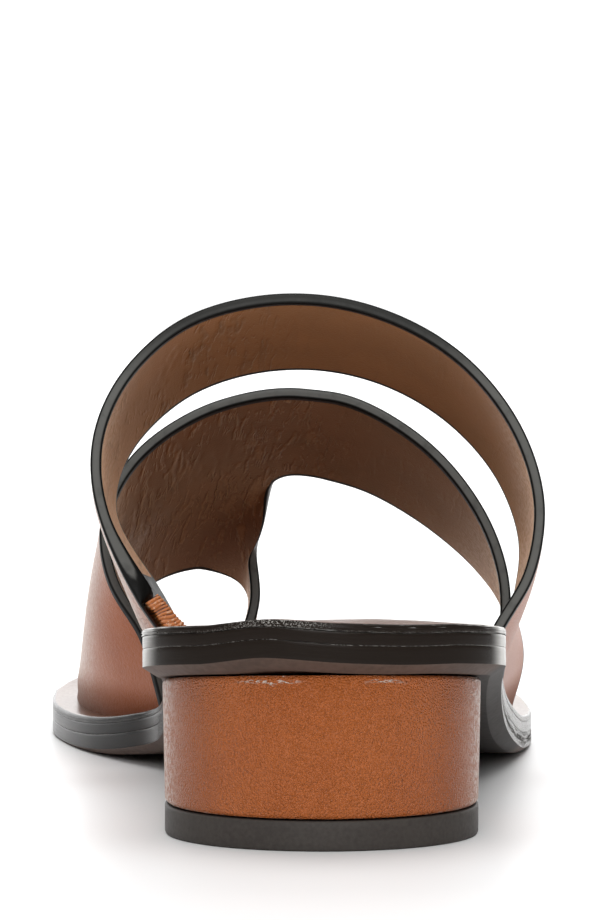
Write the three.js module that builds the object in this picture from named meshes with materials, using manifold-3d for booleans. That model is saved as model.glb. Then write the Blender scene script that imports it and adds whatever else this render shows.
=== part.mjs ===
import * as THREE from 'three';
import Module from 'manifold-3d';

const wasm = await Module();
wasm.setup();

// A slide sandal for the right foot: a layered sole on a low covered block heel, a wide instep strap, and
// a toe strap whose front loops over the big toe and comes down between the toes.
// Millimetres, +Z up, +Y toward the toe, +X toward the outer side of the foot. Every place is measured from
// the back of the heel on the floor, and the finished group is moved to the middle of its footprint.

// Sole sizes
const soleLength = 250;
const ballWidth = 89.2;
const heelSeatHeight = 29.1;
const toeSpring = 4.5;
const footbedThickness = 1.0;
const midsoleThickness = 1.8;
const outsoleThickness = 2.8;
const seatThickening = 1.8;
const layerGap = 0.25;
const heelRound = 29;
const toeRound = 58;
const bevelHeight = 1.6;
const bevelInset = 2.6;
const edgeRound = 0.35;
const lipRound = 0.3;

// Heel sizes
const heelBlockWidth = 52.5;
const heelBlockLength = 55;
const heelBlockSetback = 2.4;
const heelBlockShift = 0.95;
const heelBlockTaper = 0.35;
const heelCornerRound = 3;
const heelEdgeRound = 0.5;
const topPieceHeight = 4.9;
const topPieceEdge = 0.3;
const seatGap = 0.3;

// Strap sizes
const strapThickness = 1.95;
const instepInnerInset = 5.4;
const toeInnerInset = 4.6;
const outerInset = 3.8;
const instepHeight = 67;
const instepStrapWidth = 33;
const instepStrapLean = 6;
const toeStrapLean = 12;
const bandWidth = 32.5;
const bandFlare = 3;
const loopWidth = 33.5;
const postWidth = 9;
const slotClearance = 0.35;

// Elastic gore sizes
const goreHeight = 12;
const goreThickness = 2.6;
const goreLap = 14;
const goreCoverThickness = 0.8;
const goreGap = 0.3;

// Places along the sole, as shares of its length
const instepStrapStart = 0.344 * soleLength;
const toeStrapStart = 0.498 * soleLength;
const bandEnd = toeStrapStart + bandWidth;
const loopEnd = bandEnd + loopWidth;
const postStart = 0.8 * soleLength;
const postEnd = postStart + postWidth;
const postAcross = -0.0955 * ballWidth;
const postTurn = -0.008 * ballWidth;

// Sole outline before its ends are rounded: along is a share of the sole's length, the two sides are
// shares of the ball width from the heel's centre line.
const soleOutline = [
  { along: 0.0, medial: -0.322, lateral: 0.351 },
  { along: 0.112, medial: -0.322, lateral: 0.351 },
  { along: 0.18, medial: -0.292, lateral: 0.359 },
  { along: 0.24, medial: -0.277, lateral: 0.367 },
  { along: 0.32, medial: -0.271, lateral: 0.381 },
  { along: 0.4, medial: -0.27, lateral: 0.404 },
  { along: 0.46, medial: -0.28, lateral: 0.431 },
  { along: 0.52, medial: -0.348, lateral: 0.457 },
  { along: 0.56, medial: -0.394, lateral: 0.474 },
  { along: 0.6, medial: -0.432, lateral: 0.491 },
  { along: 0.66, medial: -0.471, lateral: 0.507 },
  { along: 0.72, medial: -0.492, lateral: 0.508 },
  { along: 0.8, medial: -0.493, lateral: 0.489 },
  { along: 0.88, medial: -0.483, lateral: 0.452 },
  { along: 1.0, medial: -0.45, lateral: 0.31 },
];

// Heel block outline before its ends are rounded, as shares of its own length and width.
const heelOutline = [
  { along: 0.0, medial: -0.5, lateral: 0.5 },
  { along: 0.5, medial: -0.5, lateral: 0.5 },
  { along: 0.75, medial: -0.475, lateral: 0.495 },
  { along: 1.0, medial: -0.435, lateral: 0.48 },
];

// Underside of the outsole: rise is a share of the heel seat height.
const undersideProfile = [
  { along: 0.0, rise: 1 },
  { along: 0.08, rise: 0.921 },
  { along: 0.16, rise: 0.824 },
  { along: 0.24, rise: 0.69 },
  { along: 0.32, rise: 0.511 },
  { along: 0.36, rise: 0.397 },
  { along: 0.4, rise: 0.285 },
  { along: 0.44, rise: 0.187 },
  { along: 0.48, rise: 0.112 },
  { along: 0.52, rise: 0.057 },
  { along: 0.56, rise: 0.02 },
  { along: 0.6, rise: 0.004 },
  { along: 0.63, rise: 0 },
  { along: 1.0, rise: 0 },
];

// Toe spring, and how far the heel seat's thicker outsole and its bevel reach forward, as shares.
const springProfile = [
  { along: 0.0, spring: 0, seat: 1 },
  { along: 0.38, spring: 0, seat: 1 },
  { along: 0.48, spring: 0, seat: 0.78 },
  { along: 0.56, spring: 0, seat: 0.42 },
  { along: 0.68, spring: 0, seat: 0 },
  { along: 0.8, spring: 0, seat: 0 },
  { along: 0.9, spring: 0.27, seat: 0 },
  { along: 1.0, spring: 1, seat: 0 },
];

// Instep strap, a row for each section from the inner to the outer side: across is a share of the ball
// width, height a share of the instep height above the footbed, both on the strap's outer face.
const instepSections = [
  { rearAcross: -0.292, rearHeight: 0.127, frontAcross: -0.247, frontHeight: 0.135 },
  { rearAcross: -0.374, rearHeight: 0.325, frontAcross: -0.31, frontHeight: 0.34 },
  { rearAcross: -0.412, rearHeight: 0.5, frontAcross: -0.379, frontHeight: 0.51 },
  { rearAcross: -0.406, rearHeight: 0.65, frontAcross: -0.373, frontHeight: 0.63 },
  { rearAcross: -0.352, rearHeight: 0.802, frontAcross: -0.328, frontHeight: 0.745 },
  { rearAcross: -0.242, rearHeight: 0.938, frontAcross: -0.226, frontHeight: 0.866 },
  { rearAcross: -0.1, rearHeight: 1.001, frontAcross: -0.095, frontHeight: 0.93 },
  { rearAcross: 0.05, rearHeight: 1.004, frontAcross: 0.047, frontHeight: 0.941 },
  { rearAcross: 0.191, rearHeight: 0.95, frontAcross: 0.179, frontHeight: 0.9 },
  { rearAcross: 0.312, rearHeight: 0.85, frontAcross: 0.292, frontHeight: 0.818 },
  { rearAcross: 0.402, rearHeight: 0.712, frontAcross: 0.38, frontHeight: 0.708 },
  { rearAcross: 0.454, rearHeight: 0.568, frontAcross: 0.437, frontHeight: 0.588 },
  { rearAcross: 0.473, rearHeight: 0.42, frontAcross: 0.468, frontHeight: 0.44 },
  { rearAcross: 0.45, rearHeight: 0.25, frontAcross: 0.453, frontHeight: 0.28 },
  { rearAcross: 0.399, rearHeight: 0.133, frontAcross: 0.423, frontHeight: 0.14 },
];

// Toe strap, a row for each section from the inner to the outer side. The front columns are the line where
// the loop leaves the band as far as the crotch row, and the band's own front edge after it.
const toeSections = [
  { rearAcross: -0.306, rearHeight: 0.2, frontAlong: 0.636, frontAcross: -0.426, frontHeight: 0.09 },
  { rearAcross: -0.372, rearHeight: 0.34, frontAlong: 0.642, frontAcross: -0.432, frontHeight: 0.2 },
  { rearAcross: -0.395, rearHeight: 0.48, frontAlong: 0.65, frontAcross: -0.418, frontHeight: 0.32 },
  { rearAcross: -0.376, rearHeight: 0.61, frontAlong: 0.66, frontAcross: -0.374, frontHeight: 0.43 },
  { rearAcross: -0.312, rearHeight: 0.731, frontAlong: 0.671, frontAcross: -0.3, frontHeight: 0.53 },
  { rearAcross: -0.203, rearHeight: 0.83, frontAlong: 0.682, frontAcross: -0.204, frontHeight: 0.602 },
  { rearAcross: -0.1, rearHeight: 0.876, frontAlong: 0.692, frontAcross: -0.104, frontHeight: 0.642 },
  { rearAcross: -0.02, rearHeight: 0.89, frontAlong: 0.7, frontAcross: -0.021, frontHeight: 0.654 },
  { rearAcross: 0.04, rearHeight: 0.885, frontAlong: 0.692, frontAcross: 0.01, frontHeight: 0.672 },
  { rearAcross: 0.112, rearHeight: 0.869, frontAlong: 0.688, frontAcross: 0.095, frontHeight: 0.651 },
  { rearAcross: 0.199, rearHeight: 0.814, frontAlong: 0.685, frontAcross: 0.174, frontHeight: 0.619 },
  { rearAcross: 0.291, rearHeight: 0.72, frontAlong: 0.68, frontAcross: 0.263, frontHeight: 0.556 },
  { rearAcross: 0.368, rearHeight: 0.592, frontAlong: 0.675, frontAcross: 0.34, frontHeight: 0.483 },
  { rearAcross: 0.415, rearHeight: 0.463, frontAlong: 0.669, frontAcross: 0.405, frontHeight: 0.404 },
  { rearAcross: 0.436, rearHeight: 0.33, frontAlong: 0.66, frontAcross: 0.462, frontHeight: 0.3 },
  { rearAcross: 0.428, rearHeight: 0.17, frontAlong: 0.65, frontAcross: 0.492, frontHeight: 0.15 },
];
const crotchRow = 8;

// Big-toe loop, a row for each section: its front edge over the toe, then down between the toes.
const loopSections = [
  { frontAlong: 0.77, frontAcross: -0.426, frontHeight: 0.078 },
  { frontAlong: 0.784, frontAcross: -0.403, frontHeight: 0.171 },
  { frontAlong: 0.797, frontAcross: -0.362, frontHeight: 0.249 },
  { frontAlong: 0.808, frontAcross: -0.315, frontHeight: 0.303 },
  { frontAlong: 0.817, frontAcross: -0.27, frontHeight: 0.333 },
  { frontAlong: 0.824, frontAcross: -0.232, frontHeight: 0.347 },
  { frontAlong: 0.829, frontAcross: -0.2, frontHeight: 0.353 },
  { frontAlong: 0.833, frontAcross: -0.17, frontHeight: 0.354 },
  { frontAlong: 0.836, frontAcross: -0.143, frontHeight: 0.35 },
  { frontAlong: 0.838, frontAcross: -0.118, frontHeight: 0.342 },
  { frontAlong: 0.839, frontAcross: -0.093, frontHeight: 0.327 },
  { frontAlong: 0.839, frontAcross: -0.069, frontHeight: 0.302 },
  { frontAlong: 0.838, frontAcross: -0.05, frontHeight: 0.26 },
  { frontAlong: 0.837, frontAcross: -0.048, frontHeight: 0.205 },
  { frontAlong: 0.836, frontAcross: -0.062, frontHeight: 0.14 },
];

// Rear edge of the tab that runs down between the toes, from below the crotch to above the footbed.
const postSections = [
  { rearAlong: 0.728, rearAcross: -0.031, rearHeight: 0.589 },
  { rearAlong: 0.752, rearAcross: -0.0415, rearHeight: 0.512 },
  { rearAlong: 0.776, rearAcross: -0.052, rearHeight: 0.438 },
  { rearAlong: 0.793, rearAcross: -0.057, rearHeight: 0.386 },
  { rearAlong: 0.8, rearAcross: -0.0465, rearHeight: 0.31 },
  { rearAlong: 0.8, rearAcross: -0.048, rearHeight: 0.24 },
  { rearAlong: 0.8, rearAcross: -0.061, rearHeight: 0.19 },
  { rearAlong: 0.8, rearAcross: -0.08, rearHeight: 0.085 },
];

const bandBowReach = 4;
const loopBowReach = 1;

// How far the loop follows the fall of the tab's rear edge, so that the edge lies flat in the leather until
// the tab turns down between the toes: along is the section, fall a share.
const loopFallProfile = [
  { along: 4, fall: 0 },
  { along: 6, fall: 0.3 },
  { along: 8, fall: 0.8 },
  { along: 9, fall: 0.9 },
  { along: 10, fall: 0.9 },
  { along: 10.6, fall: 0.8 },
  { along: 11.3, fall: 0.35 },
  { along: 12, fall: 0 },
];
const steepestFall = -1.25;

// Crown of the instep strap between its two edges: along is the section, crown a share of the largest.
const instepStrapCrown = 2.6;
const instepCrownProfile = [
  { along: 0, crown: 0.3 },
  { along: 1, crown: 1 },
  { along: 2, crown: 0.62 },
  { along: 3.5, crown: 0.23 },
  { along: 15, crown: 0.23 },
  { along: 16, crown: 0 },
];

// Mesh fineness
const endSteps = 8;
const sideStep = 6.5;
const columnsPerSection = 3;
const rowsAcrossStrap = 6;

const finishes = {
  outsole: { color: 0x24211f, roughness: 0.55 },
  midsole: { color: 0x2b2725, roughness: 0.5 },
  footbed: { color: 0x9a5a33, roughness: 0.5 },
  heel_block: { color: 0xa05c34, roughness: 0.4 },
  heel_top_piece: { color: 0x46413e, roughness: 0.8 },
  instep_strap: { color: 0xa05c34, roughness: 0.4 },
  toe_strap: { color: 0xa05c34, roughness: 0.4 },
  elastic_gore: { color: 0xb0703f, roughness: 0.8 },
};

// A column of a table at a place, by a cubic that never swings past its rows.
function interpolate(table, column, along) {
  const last = table.length - 1;
  if (along <= table[0].along) return table[0][column];
  if (along >= table[last].along) return table[last][column];
  const span = table.findIndex((row) => row.along > along) - 1;
  const rise = (k) => (table[k + 1][column] - table[k][column]) / (table[k + 1].along - table[k].along);
  const slope = (k) => {
    if (k === 0) return rise(0);
    if (k === last) return rise(last - 1);
    const before = rise(k - 1);
    const after = rise(k);
    return before * after <= 0 ? 0 : (2 * before * after) / (before + after);
  };
  const width = table[span + 1].along - table[span].along;
  const t = (along - table[span].along) / width;
  const start = table[span][column];
  const end = table[span + 1][column];
  return (
    start * (1 + 2 * t) * (1 - t) ** 2 +
    slope(span) * width * t * (1 - t) ** 2 +
    end * t * t * (3 - 2 * t) -
    slope(span + 1) * width * t * t * (1 - t)
  );
}

// Share of the full width at a distance from a rounded end.
function endShare(distance, round, power) {
  if (distance >= round) return 1;
  const remaining = 1 - Math.max(distance, 0) / round;
  return (1 - remaining ** power) ** (1 / power);
}

const heelRoundPower = 2.1;
const toeRoundPower = 2.25;
const cornerRoundPower = 2;

function soleEdge(side, along) {
  const medial = interpolate(soleOutline, 'medial', along / soleLength) * ballWidth;
  const lateral = interpolate(soleOutline, 'lateral', along / soleLength) * ballWidth;
  const rounded =
    endShare(along, heelRound, heelRoundPower) * endShare(soleLength - along, toeRound, toeRoundPower);
  return (medial + lateral) / 2 + (side * rounded * (lateral - medial)) / 2;
}

function heelBlockEdge(side, along) {
  const fromBack = along - heelBlockSetback;
  const fromBreast = heelBlockSetback + heelBlockLength - along;
  const reach = interpolate(heelOutline, side < 0 ? 'medial' : 'lateral', fromBack / heelBlockLength);
  const rounded = endShare(fromBack, heelBlockWidth / 2, cornerRoundPower);
  const corner = heelCornerRound * (1 - endShare(fromBreast, heelCornerRound, cornerRoundPower));
  return heelBlockShift + rounded * reach * heelBlockWidth - side * corner;
}

// Heights of the sole's faces at a place along it
const seatShare = (along) => interpolate(springProfile, 'seat', along / soleLength);
const underside = (along) =>
  interpolate(undersideProfile, 'rise', along / soleLength) * heelSeatHeight +
  interpolate(springProfile, 'spring', along / soleLength) * toeSpring;
const outsoleTop = (along) => underside(along) + outsoleThickness + seatThickening * seatShare(along);
const midsoleBottom = (along) => outsoleTop(along) + layerGap;
const midsoleTop = (along) => midsoleBottom(along) + midsoleThickness;
const footbedBottom = (along) => midsoleTop(along) + layerGap;
const footbedTop = (along) => footbedBottom(along) + footbedThickness;

// Places along an outline, closer together where its ends are round.
function stations(start, end, startRound, endRound) {
  const places = [];
  for (let k = 1; k <= endSteps; k += 1) {
    places.push(start + startRound * (1 - Math.cos((k * Math.PI) / 2 / endSteps)));
  }
  const middle = end - endRound - (start + startRound);
  const steps = Math.max(1, Math.round(middle / sideStep));
  for (let k = 1; k < steps; k += 1) places.push(start + startRound + (middle * k) / steps);
  for (let k = endSteps; k >= 1; k -= 1) {
    places.push(end - endRound * (1 - Math.cos((k * Math.PI) / 2 / endSteps)));
  }
  return places;
}

// A closed outline seen from above: the back tip, the outer side to the front, and the inner side back.
function outline(edge, places, backTip, frontTip) {
  const tip = (along) => new THREE.Vector2((edge(-1, along) + edge(1, along)) / 2, along);
  const side = (sign) => places.map((along) => new THREE.Vector2(edge(sign, along), along));
  return [tip(backTip), ...side(1), tip(frontTip), ...side(-1).reverse()];
}

// The outline moved inward along its own normals.
function insetOutline(points, inset) {
  return points.map((point, k) => {
    const before = points[(k + points.length - 1) % points.length];
    const after = points[(k + 1) % points.length];
    const ahead = after.clone().sub(before).normalize();
    return new THREE.Vector2(point.x - ahead.y * inset(point.y), point.y + ahead.x * inset(point.y));
  });
}

function solidGeometry(vertices, triangles) {
  const geometry = new THREE.BufferGeometry();
  const coordinates = vertices.flatMap((v) => [v.x, v.y, v.z]);
  geometry.setAttribute('position', new THREE.Float32BufferAttribute(coordinates, 3));
  geometry.setIndex(triangles.flat());
  geometry.computeVertexNormals();
  return geometry;
}

// A closed solid from rings stacked upward on one outline, each ring a function of the place along.
function stackedSolid(points, rings) {
  const count = points.length;
  const vertices = rings.flatMap((ring) =>
    insetOutline(points, (along) => ring(along).inset).map(
      (point) => new THREE.Vector3(point.x, point.y, ring(point.y).height),
    ),
  );
  const triangles = [];
  for (let level = 0; level + 1 < rings.length; level += 1) {
    for (let k = 0; k < count; k += 1) {
      const a = level * count + k;
      const b = level * count + ((k + 1) % count);
      triangles.push([a, b, b + count], [a, b + count, a + count]);
    }
  }
  const cap = (first, upward) => {
    for (let k = 0; 2 * k + 1 < count; k += 1) {
      const right = [first + k, first + k + 1];
      const left = [first + ((count - k) % count), first + count - k - 1];
      const face = [
        [right[0], right[1], left[1]],
        [right[0], left[1], left[0]],
      ].filter((corners) => new Set(corners).size === 3);
      triangles.push(...face.map((corners) => (upward ? corners : corners.slice().reverse())));
    }
  };
  cap(0, false);
  cap((rings.length - 1) * count, true);
  return solidGeometry(vertices, triangles);
}

const soleStations = stations(0, soleLength, heelRound, toeRound);
const solePlan = outline(soleEdge, soleStations, 0, soleLength);

function outsoleGeometry() {
  return stackedSolid(solePlan, [
    (along) => ({ inset: edgeRound + (bevelInset - edgeRound) * seatShare(along), height: underside(along) }),
    (along) => ({
      inset: 0,
      height: underside(along) + edgeRound + (bevelHeight - edgeRound) * seatShare(along),
    }),
    (along) => ({ inset: 0, height: outsoleTop(along) - edgeRound }),
    (along) => ({ inset: edgeRound, height: outsoleTop(along) }),
  ]);
}

function midsoleGeometry() {
  return stackedSolid(solePlan, [
    () => ({ inset: edgeRound, height: 0 }),
    () => ({ inset: 0, height: edgeRound }),
    () => ({ inset: 0, height: midsoleThickness - edgeRound }),
    () => ({ inset: edgeRound, height: midsoleThickness }),
  ].map((ring) => (along) => ({ inset: ring().inset, height: midsoleBottom(along) + ring().height })));
}

function footbedBlank() {
  return stackedSolid(solePlan, [
    () => ({ inset: lipRound, height: 0 }),
    () => ({ inset: 0, height: lipRound }),
    () => ({ inset: lipRound / 3, height: footbedThickness - lipRound }),
    () => ({ inset: lipRound * 2, height: footbedThickness }),
  ].map((ring) => (along) => ({ inset: ring().inset, height: footbedBottom(along) + ring().height })));
}

const heelBack = heelBlockSetback;
const heelBreast = heelBlockSetback + heelBlockLength;
const heelPlan = outline(
  heelBlockEdge,
  stations(heelBack, heelBreast, heelBlockWidth / 2, heelCornerRound),
  heelBack,
  heelBreast,
);

function heelBlockGeometry() {
  const bottom = topPieceHeight + seatGap;
  const top = (along) => underside(along) - seatGap;
  return stackedSolid(heelPlan, [
    () => ({ inset: heelBlockTaper + heelEdgeRound, height: bottom }),
    () => ({ inset: heelBlockTaper, height: bottom + heelEdgeRound }),
    (along) => ({ inset: 0, height: top(along) - heelEdgeRound }),
    (along) => ({ inset: heelEdgeRound, height: top(along) }),
  ]);
}

function topPieceGeometry() {
  return stackedSolid(heelPlan, [
    () => ({ inset: heelBlockTaper + topPieceEdge, height: 0 }),
    () => ({ inset: heelBlockTaper, height: topPieceEdge }),
    () => ({ inset: heelBlockTaper, height: topPieceHeight - topPieceEdge }),
    () => ({ inset: heelBlockTaper + topPieceEdge, height: topPieceHeight }),
  ]);
}

// A point of a strap's outer face from shares of the sole length, ball width and instep height.
function strapPoint(along, across, height) {
  return new THREE.Vector3(across * ballWidth, along, footbedTop(along) + height * instepHeight);
}

// Where a strap's outer face meets the footbed, an inset away from one side of the sole.
function slotPoint(side, along, inset) {
  return new THREE.Vector3(soleEdge(side, along) - side * inset, along, footbedTop(along));
}

function smoothPath(points) {
  const path = new THREE.CatmullRomCurve3(points, false, 'centripetal');
  return (place) => path.getPoint(place / (points.length - 1));
}

// The foot of a strap, just above the midsole, straight below where it meets the footbed.
function tailPoint(point) {
  return new THREE.Vector3(point.x, point.y, midsoleTop(point.y) + seatGap);
}

// A closed solid from an outer face of shared points and four-sided patches, thickened inward.
function thickened(points, patches, thicknessAt) {
  const normals = points.map(() => new THREE.Vector3());
  for (const [a, b, c, d] of patches) {
    const across = points[c].clone().sub(points[a]);
    const normal = across.cross(points[d].clone().sub(points[b]));
    for (const corner of [a, b, c, d]) normals[corner].add(normal);
  }
  const count = points.length;
  const inner = points.map((point, k) =>
    point.clone().addScaledVector(normals[k].normalize(), -thicknessAt(k)),
  );
  const triangles = [];
  const borders = new Map();
  for (const [a, b, c, d] of patches) {
    triangles.push([a, b, c], [a, c, d]);
    triangles.push([a + count, c + count, b + count], [a + count, d + count, c + count]);
    for (const [from, to] of [[a, b], [b, c], [c, d], [d, a]]) {
      if (!borders.delete(`${to} ${from}`)) borders.set(`${from} ${to}`, [from, to]);
    }
  }
  for (const [from, to] of borders.values()) {
    triangles.push([to, from, from + count], [to, from + count, to + count]);
  }
  return { geometry: solidGeometry([...points, ...inner], triangles), normals };
}

// Patches of a grid of point numbers whose first index runs across and second runs forward.
function gridPatches(grid) {
  const patches = [];
  for (let i = 0; i + 1 < grid.length; i += 1) {
    for (let j = 0; j + 1 < grid[i].length; j += 1) {
      patches.push([grid[i][j], grid[i + 1][j], grid[i + 1][j + 1], grid[i][j + 1]]);
    }
  }
  return patches;
}

const instepPlaces = {
  rear: (height) => instepStrapStart + instepStrapLean * height,
  front: (height) => instepStrapStart + instepStrapWidth + instepStrapLean * height,
};
const instepEdge = (edge) =>
  smoothPath([
    slotPoint(-1, instepPlaces[edge](0), instepInnerInset),
    ...instepSections.map((row) =>
      strapPoint(instepPlaces[edge](row[`${edge}Height`]), row[`${edge}Across`], row[`${edge}Height`]),
    ),
    slotPoint(1, instepPlaces[edge](0), outerInset),
  ]);
const instepRear = instepEdge('rear');
const instepFront = instepEdge('front');
const instepLast = instepSections.length + 1;

// The place across the instep strap where its rear edge is a given height above the footbed.
function instepPlaceAt(height) {
  const aboveFootbed = (place) => instepRear(place).z - footbedTop(instepRear(place).y);
  let low = 0;
  let high = instepLast / 2;
  while (high - low > 1e-4) {
    const middle = (low + high) / 2;
    if (aboveFootbed(middle) < height) low = middle;
    else high = middle;
  }
  return low;
}

const goreTop = instepPlaceAt(goreHeight);
const stepStart = instepPlaceAt(goreHeight + goreGap);
const stepEnd = instepPlaceAt(goreHeight + 2 * goreGap);

// Places across the instep strap, with the gore's stretch at its inner end and the step above it.
function instepColumns() {
  const lower = [0, 0.33, 0.66, 1].map((share) => share * goreTop);
  const upper = [];
  const first = Math.ceil(stepEnd * columnsPerSection + 0.5);
  for (let k = first; k <= instepLast * columnsPerSection; k += 1) upper.push(k / columnsPerSection);
  return [...lower, stepStart, stepEnd, ...upper];
}

function instepPoint(place, share) {
  const rear = instepRear(place);
  const front = instepFront(place);
  const ahead = Math.min(Math.max(place + 0.05, 0.1), instepLast);
  const along = front.clone().sub(rear);
  const across = instepRear(ahead).sub(instepRear(ahead - 0.1));
  const outward = across.cross(along).normalize();
  const crown = instepStrapCrown * interpolate(instepCrownProfile, 'crown', place);
  return rear.lerp(front, share).addScaledVector(outward, 4 * share * (1 - share) * crown);
}

// The instep strap's outer face, with a tail below the footbed at each end.
const instepFace = (() => {
  const places = instepColumns();
  const columns = places.map((place) =>
    Array.from({ length: rowsAcrossStrap + 1 }, (_, j) => instepPoint(place, j / rowsAcrossStrap)),
  );
  columns.unshift(columns[0].map(tailPoint));
  columns.push(columns[columns.length - 1].map(tailPoint));
  return { columns, thinColumns: places.indexOf(stepStart) + 2, goreColumns: places.indexOf(goreTop) + 2 };
})();

function shell(columns, thicknessAtColumn) {
  const rows = columns[0].length;
  const grid = columns.map((column, i) => column.map((_, j) => i * rows + j));
  return thickened(columns.flat(), gridPatches(grid), (k) => thicknessAtColumn(Math.floor(k / rows)));
}

// Over the lap above the gore the strap is as thick as the gore and its cover together, and it thins to
// its own thickness above that.
const lapThickness = goreCoverThickness + goreGap + goreThickness;
const instepShell = shell(instepFace.columns, (column) => {
  if (column < instepFace.thinColumns) return goreCoverThickness;
  const [point] = instepFace.columns[column];
  const rise = point.z - footbedTop(point.y) - goreHeight;
  const share = point.x < 0 ? Math.min(rise / goreLap, 1) : 1;
  return lapThickness + (strapThickness - lapThickness) * share;
});

// The elastic gore lies inside the thin end of the instep strap and goes down into the same slot.
function goreGeometry() {
  const rows = rowsAcrossStrap + 1;
  const columns = instepFace.columns.slice(0, instepFace.goreColumns).map((column, i) =>
    column.map((point, j) =>
      point.clone().addScaledVector(instepShell.normals[i * rows + j], -(goreCoverThickness + goreGap)),
    ),
  );
  return shell(columns, () => goreThickness).geometry;
}

const toeRearPlace = (height) => toeStrapStart + toeStrapLean * height;
const toeRear = smoothPath([
  slotPoint(-1, toeRearPlace(0), toeInnerInset),
  ...toeSections.map((row) => strapPoint(toeRearPlace(row.rearHeight), row.rearAcross, row.rearHeight)),
  slotPoint(1, toeRearPlace(0), outerInset),
]);
const bandFront = smoothPath([
  slotPoint(-1, bandEnd, toeInnerInset),
  ...toeSections.map((row) => strapPoint(row.frontAlong * soleLength, row.frontAcross, row.frontHeight)),
  slotPoint(1, bandEnd + bandFlare, outerInset),
]);
const postFoot = (along) =>
  new THREE.Vector3(postAcross + (postTurn * (along - postStart)) / postWidth, along, footbedTop(along));
const postRear = smoothPath([
  bandFront(crotchRow),
  ...postSections.map((row) => strapPoint(row.rearAlong * soleLength, row.rearAcross, row.rearHeight)),
  postFoot(postStart),
]);
const loopFront = smoothPath([
  slotPoint(-1, loopEnd, toeInnerInset),
  ...loopSections.map((row) => strapPoint(row.frontAlong * soleLength, row.frontAcross, row.frontHeight)),
  postFoot(postEnd),
]);
const toeLast = toeSections.length + 1;
const loopLast = loopSections.length + 1;
const loopRear = (place) => (place <= crotchRow ? bandFront(place) : postRear(place - crotchRow));

// How far the middle of the toe strap stands off a straight line between its edges, front to back. Past
// the crotch the bow fades out over a reach of sections.
function toeBow(place, reach) {
  const held = Math.min(place, crotchRow);
  const bow = toeRear(held).addScaledVector(bandFront(held), -2).add(loopFront(held));
  return bow.multiplyScalar(Math.max(0, 1 - Math.max(0, place - crotchRow) / reach));
}

// The loop's own bow, which past the crotch lets each section leave the tab's rear edge at the edge's fall.
function loopBow(place) {
  const bow = toeBow(place, loopBowReach);
  const follow = interpolate(loopFallProfile, 'fall', place);
  if (follow === 0) return bow;
  const along = loopFront(place).sub(loopRear(place));
  const edge = loopRear(place + 0.1).sub(loopRear(place - 0.1));
  const fall = Math.max(edge.z / edge.y, steepestFall);
  bow.z += (follow * 2 * (along.z - fall * along.y)) / (1 - 1 / rowsAcrossStrap);
  return bow;
}

function bowedColumn(rear, front, bow) {
  return Array.from({ length: rowsAcrossStrap + 1 }, (_, j) => {
    const share = j / rowsAcrossStrap;
    return rear.clone().lerp(front, share).addScaledVector(bow, (-share * (1 - share)) / 2);
  });
}

const sectionPlaces = (last) =>
  Array.from({ length: last * columnsPerSection + 1 }, (_, k) => k / columnsPerSection);

// The toe strap's outer face in its two parts, each with a tail below the footbed at both ends.
const toeFace = (() => {
  const band = sectionPlaces(toeLast).map((place) =>
    bowedColumn(toeRear(place), bandFront(place), toeBow(place, bandBowReach)),
  );
  const loop = sectionPlaces(loopLast).map((place) =>
    bowedColumn(loopRear(place), loopFront(place), loopBow(place)),
  );
  for (const part of [band, loop]) {
    part.unshift(part[0].map(tailPoint));
    part.push(part[part.length - 1].map(tailPoint));
  }
  return { band, loop };
})();

// The band and the loop in one piece: they share the line from the footbed to the crotch.
const toeShell = (() => {
  const points = [];
  const number = (point) => points.push(point) - 1;
  const bandGrid = toeFace.band.map((column) => column.map(number));
  const shared = crotchRow * columnsPerSection + 1;
  const loopGrid = toeFace.loop.map((column, i) =>
    column.map((point, j) => (j === 0 && i <= shared ? bandGrid[i][rowsAcrossStrap] : number(point))),
  );
  return thickened(points, [...gridPatches(bandGrid), ...gridPatches(loopGrid)], () => strapThickness);
})();

// A cutter for a slot in the footbed along a line of points, reaching inward from the line.
function slotCutter(line, inward, depth) {
  const ahead = (k) => {
    const from = line[Math.max(k - 1, 0)];
    const to = line[Math.min(k + 1, line.length - 1)];
    return new THREE.Vector2(to.x - from.x, to.y - from.y).normalize();
  };
  const reach = line.map((point, k) => {
    const direction = ahead(k);
    const past = k === 0 ? -slotClearance : k === line.length - 1 ? slotClearance : 0;
    const normal = new THREE.Vector2(direction.y * inward, -direction.x * inward);
    const start = new THREE.Vector2(point.x, point.y).addScaledVector(direction, past);
    return {
      outer: start.clone().addScaledVector(normal, -slotClearance),
      inner: start.clone().addScaledVector(normal, depth + slotClearance),
    };
  });
  const ring = [...reach.map((p) => p.outer), ...reach.map((p) => p.inner).reverse()];
  const count = ring.length;
  const level = (lift) => ring.map((p) => new THREE.Vector3(p.x, p.y, footbedBottom(p.y) + lift));
  const vertices = [...level(-layerGap), ...level(footbedThickness + strapThickness)];
  const triangles = [];
  for (let k = 0; k < count; k += 1) {
    const next = (k + 1) % count;
    triangles.push([k, next, next + count], [k, next + count, k + count]);
  }
  for (let k = 0; 2 * k + 2 < count; k += 1) {
    const [a, b, c, d] = [k, k + 1, count - k - 2, count - k - 1];
    triangles.push([b, a, d], [b, d, c]);
    triangles.push([a + count, b + count, d + count], [b + count, c + count, d + count]);
  }
  const facing = inward > 0 ? triangles.map((corners) => corners.slice().reverse()) : triangles;
  return solidGeometry(vertices, facing);
}

function toManifold(geometry) {
  return new wasm.Manifold(
    new wasm.Mesh({
      numProp: 3,
      vertProperties: new Float32Array(geometry.getAttribute('position').array),
      triVerts: new Uint32Array(geometry.getIndex().array),
    }),
  );
}

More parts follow.
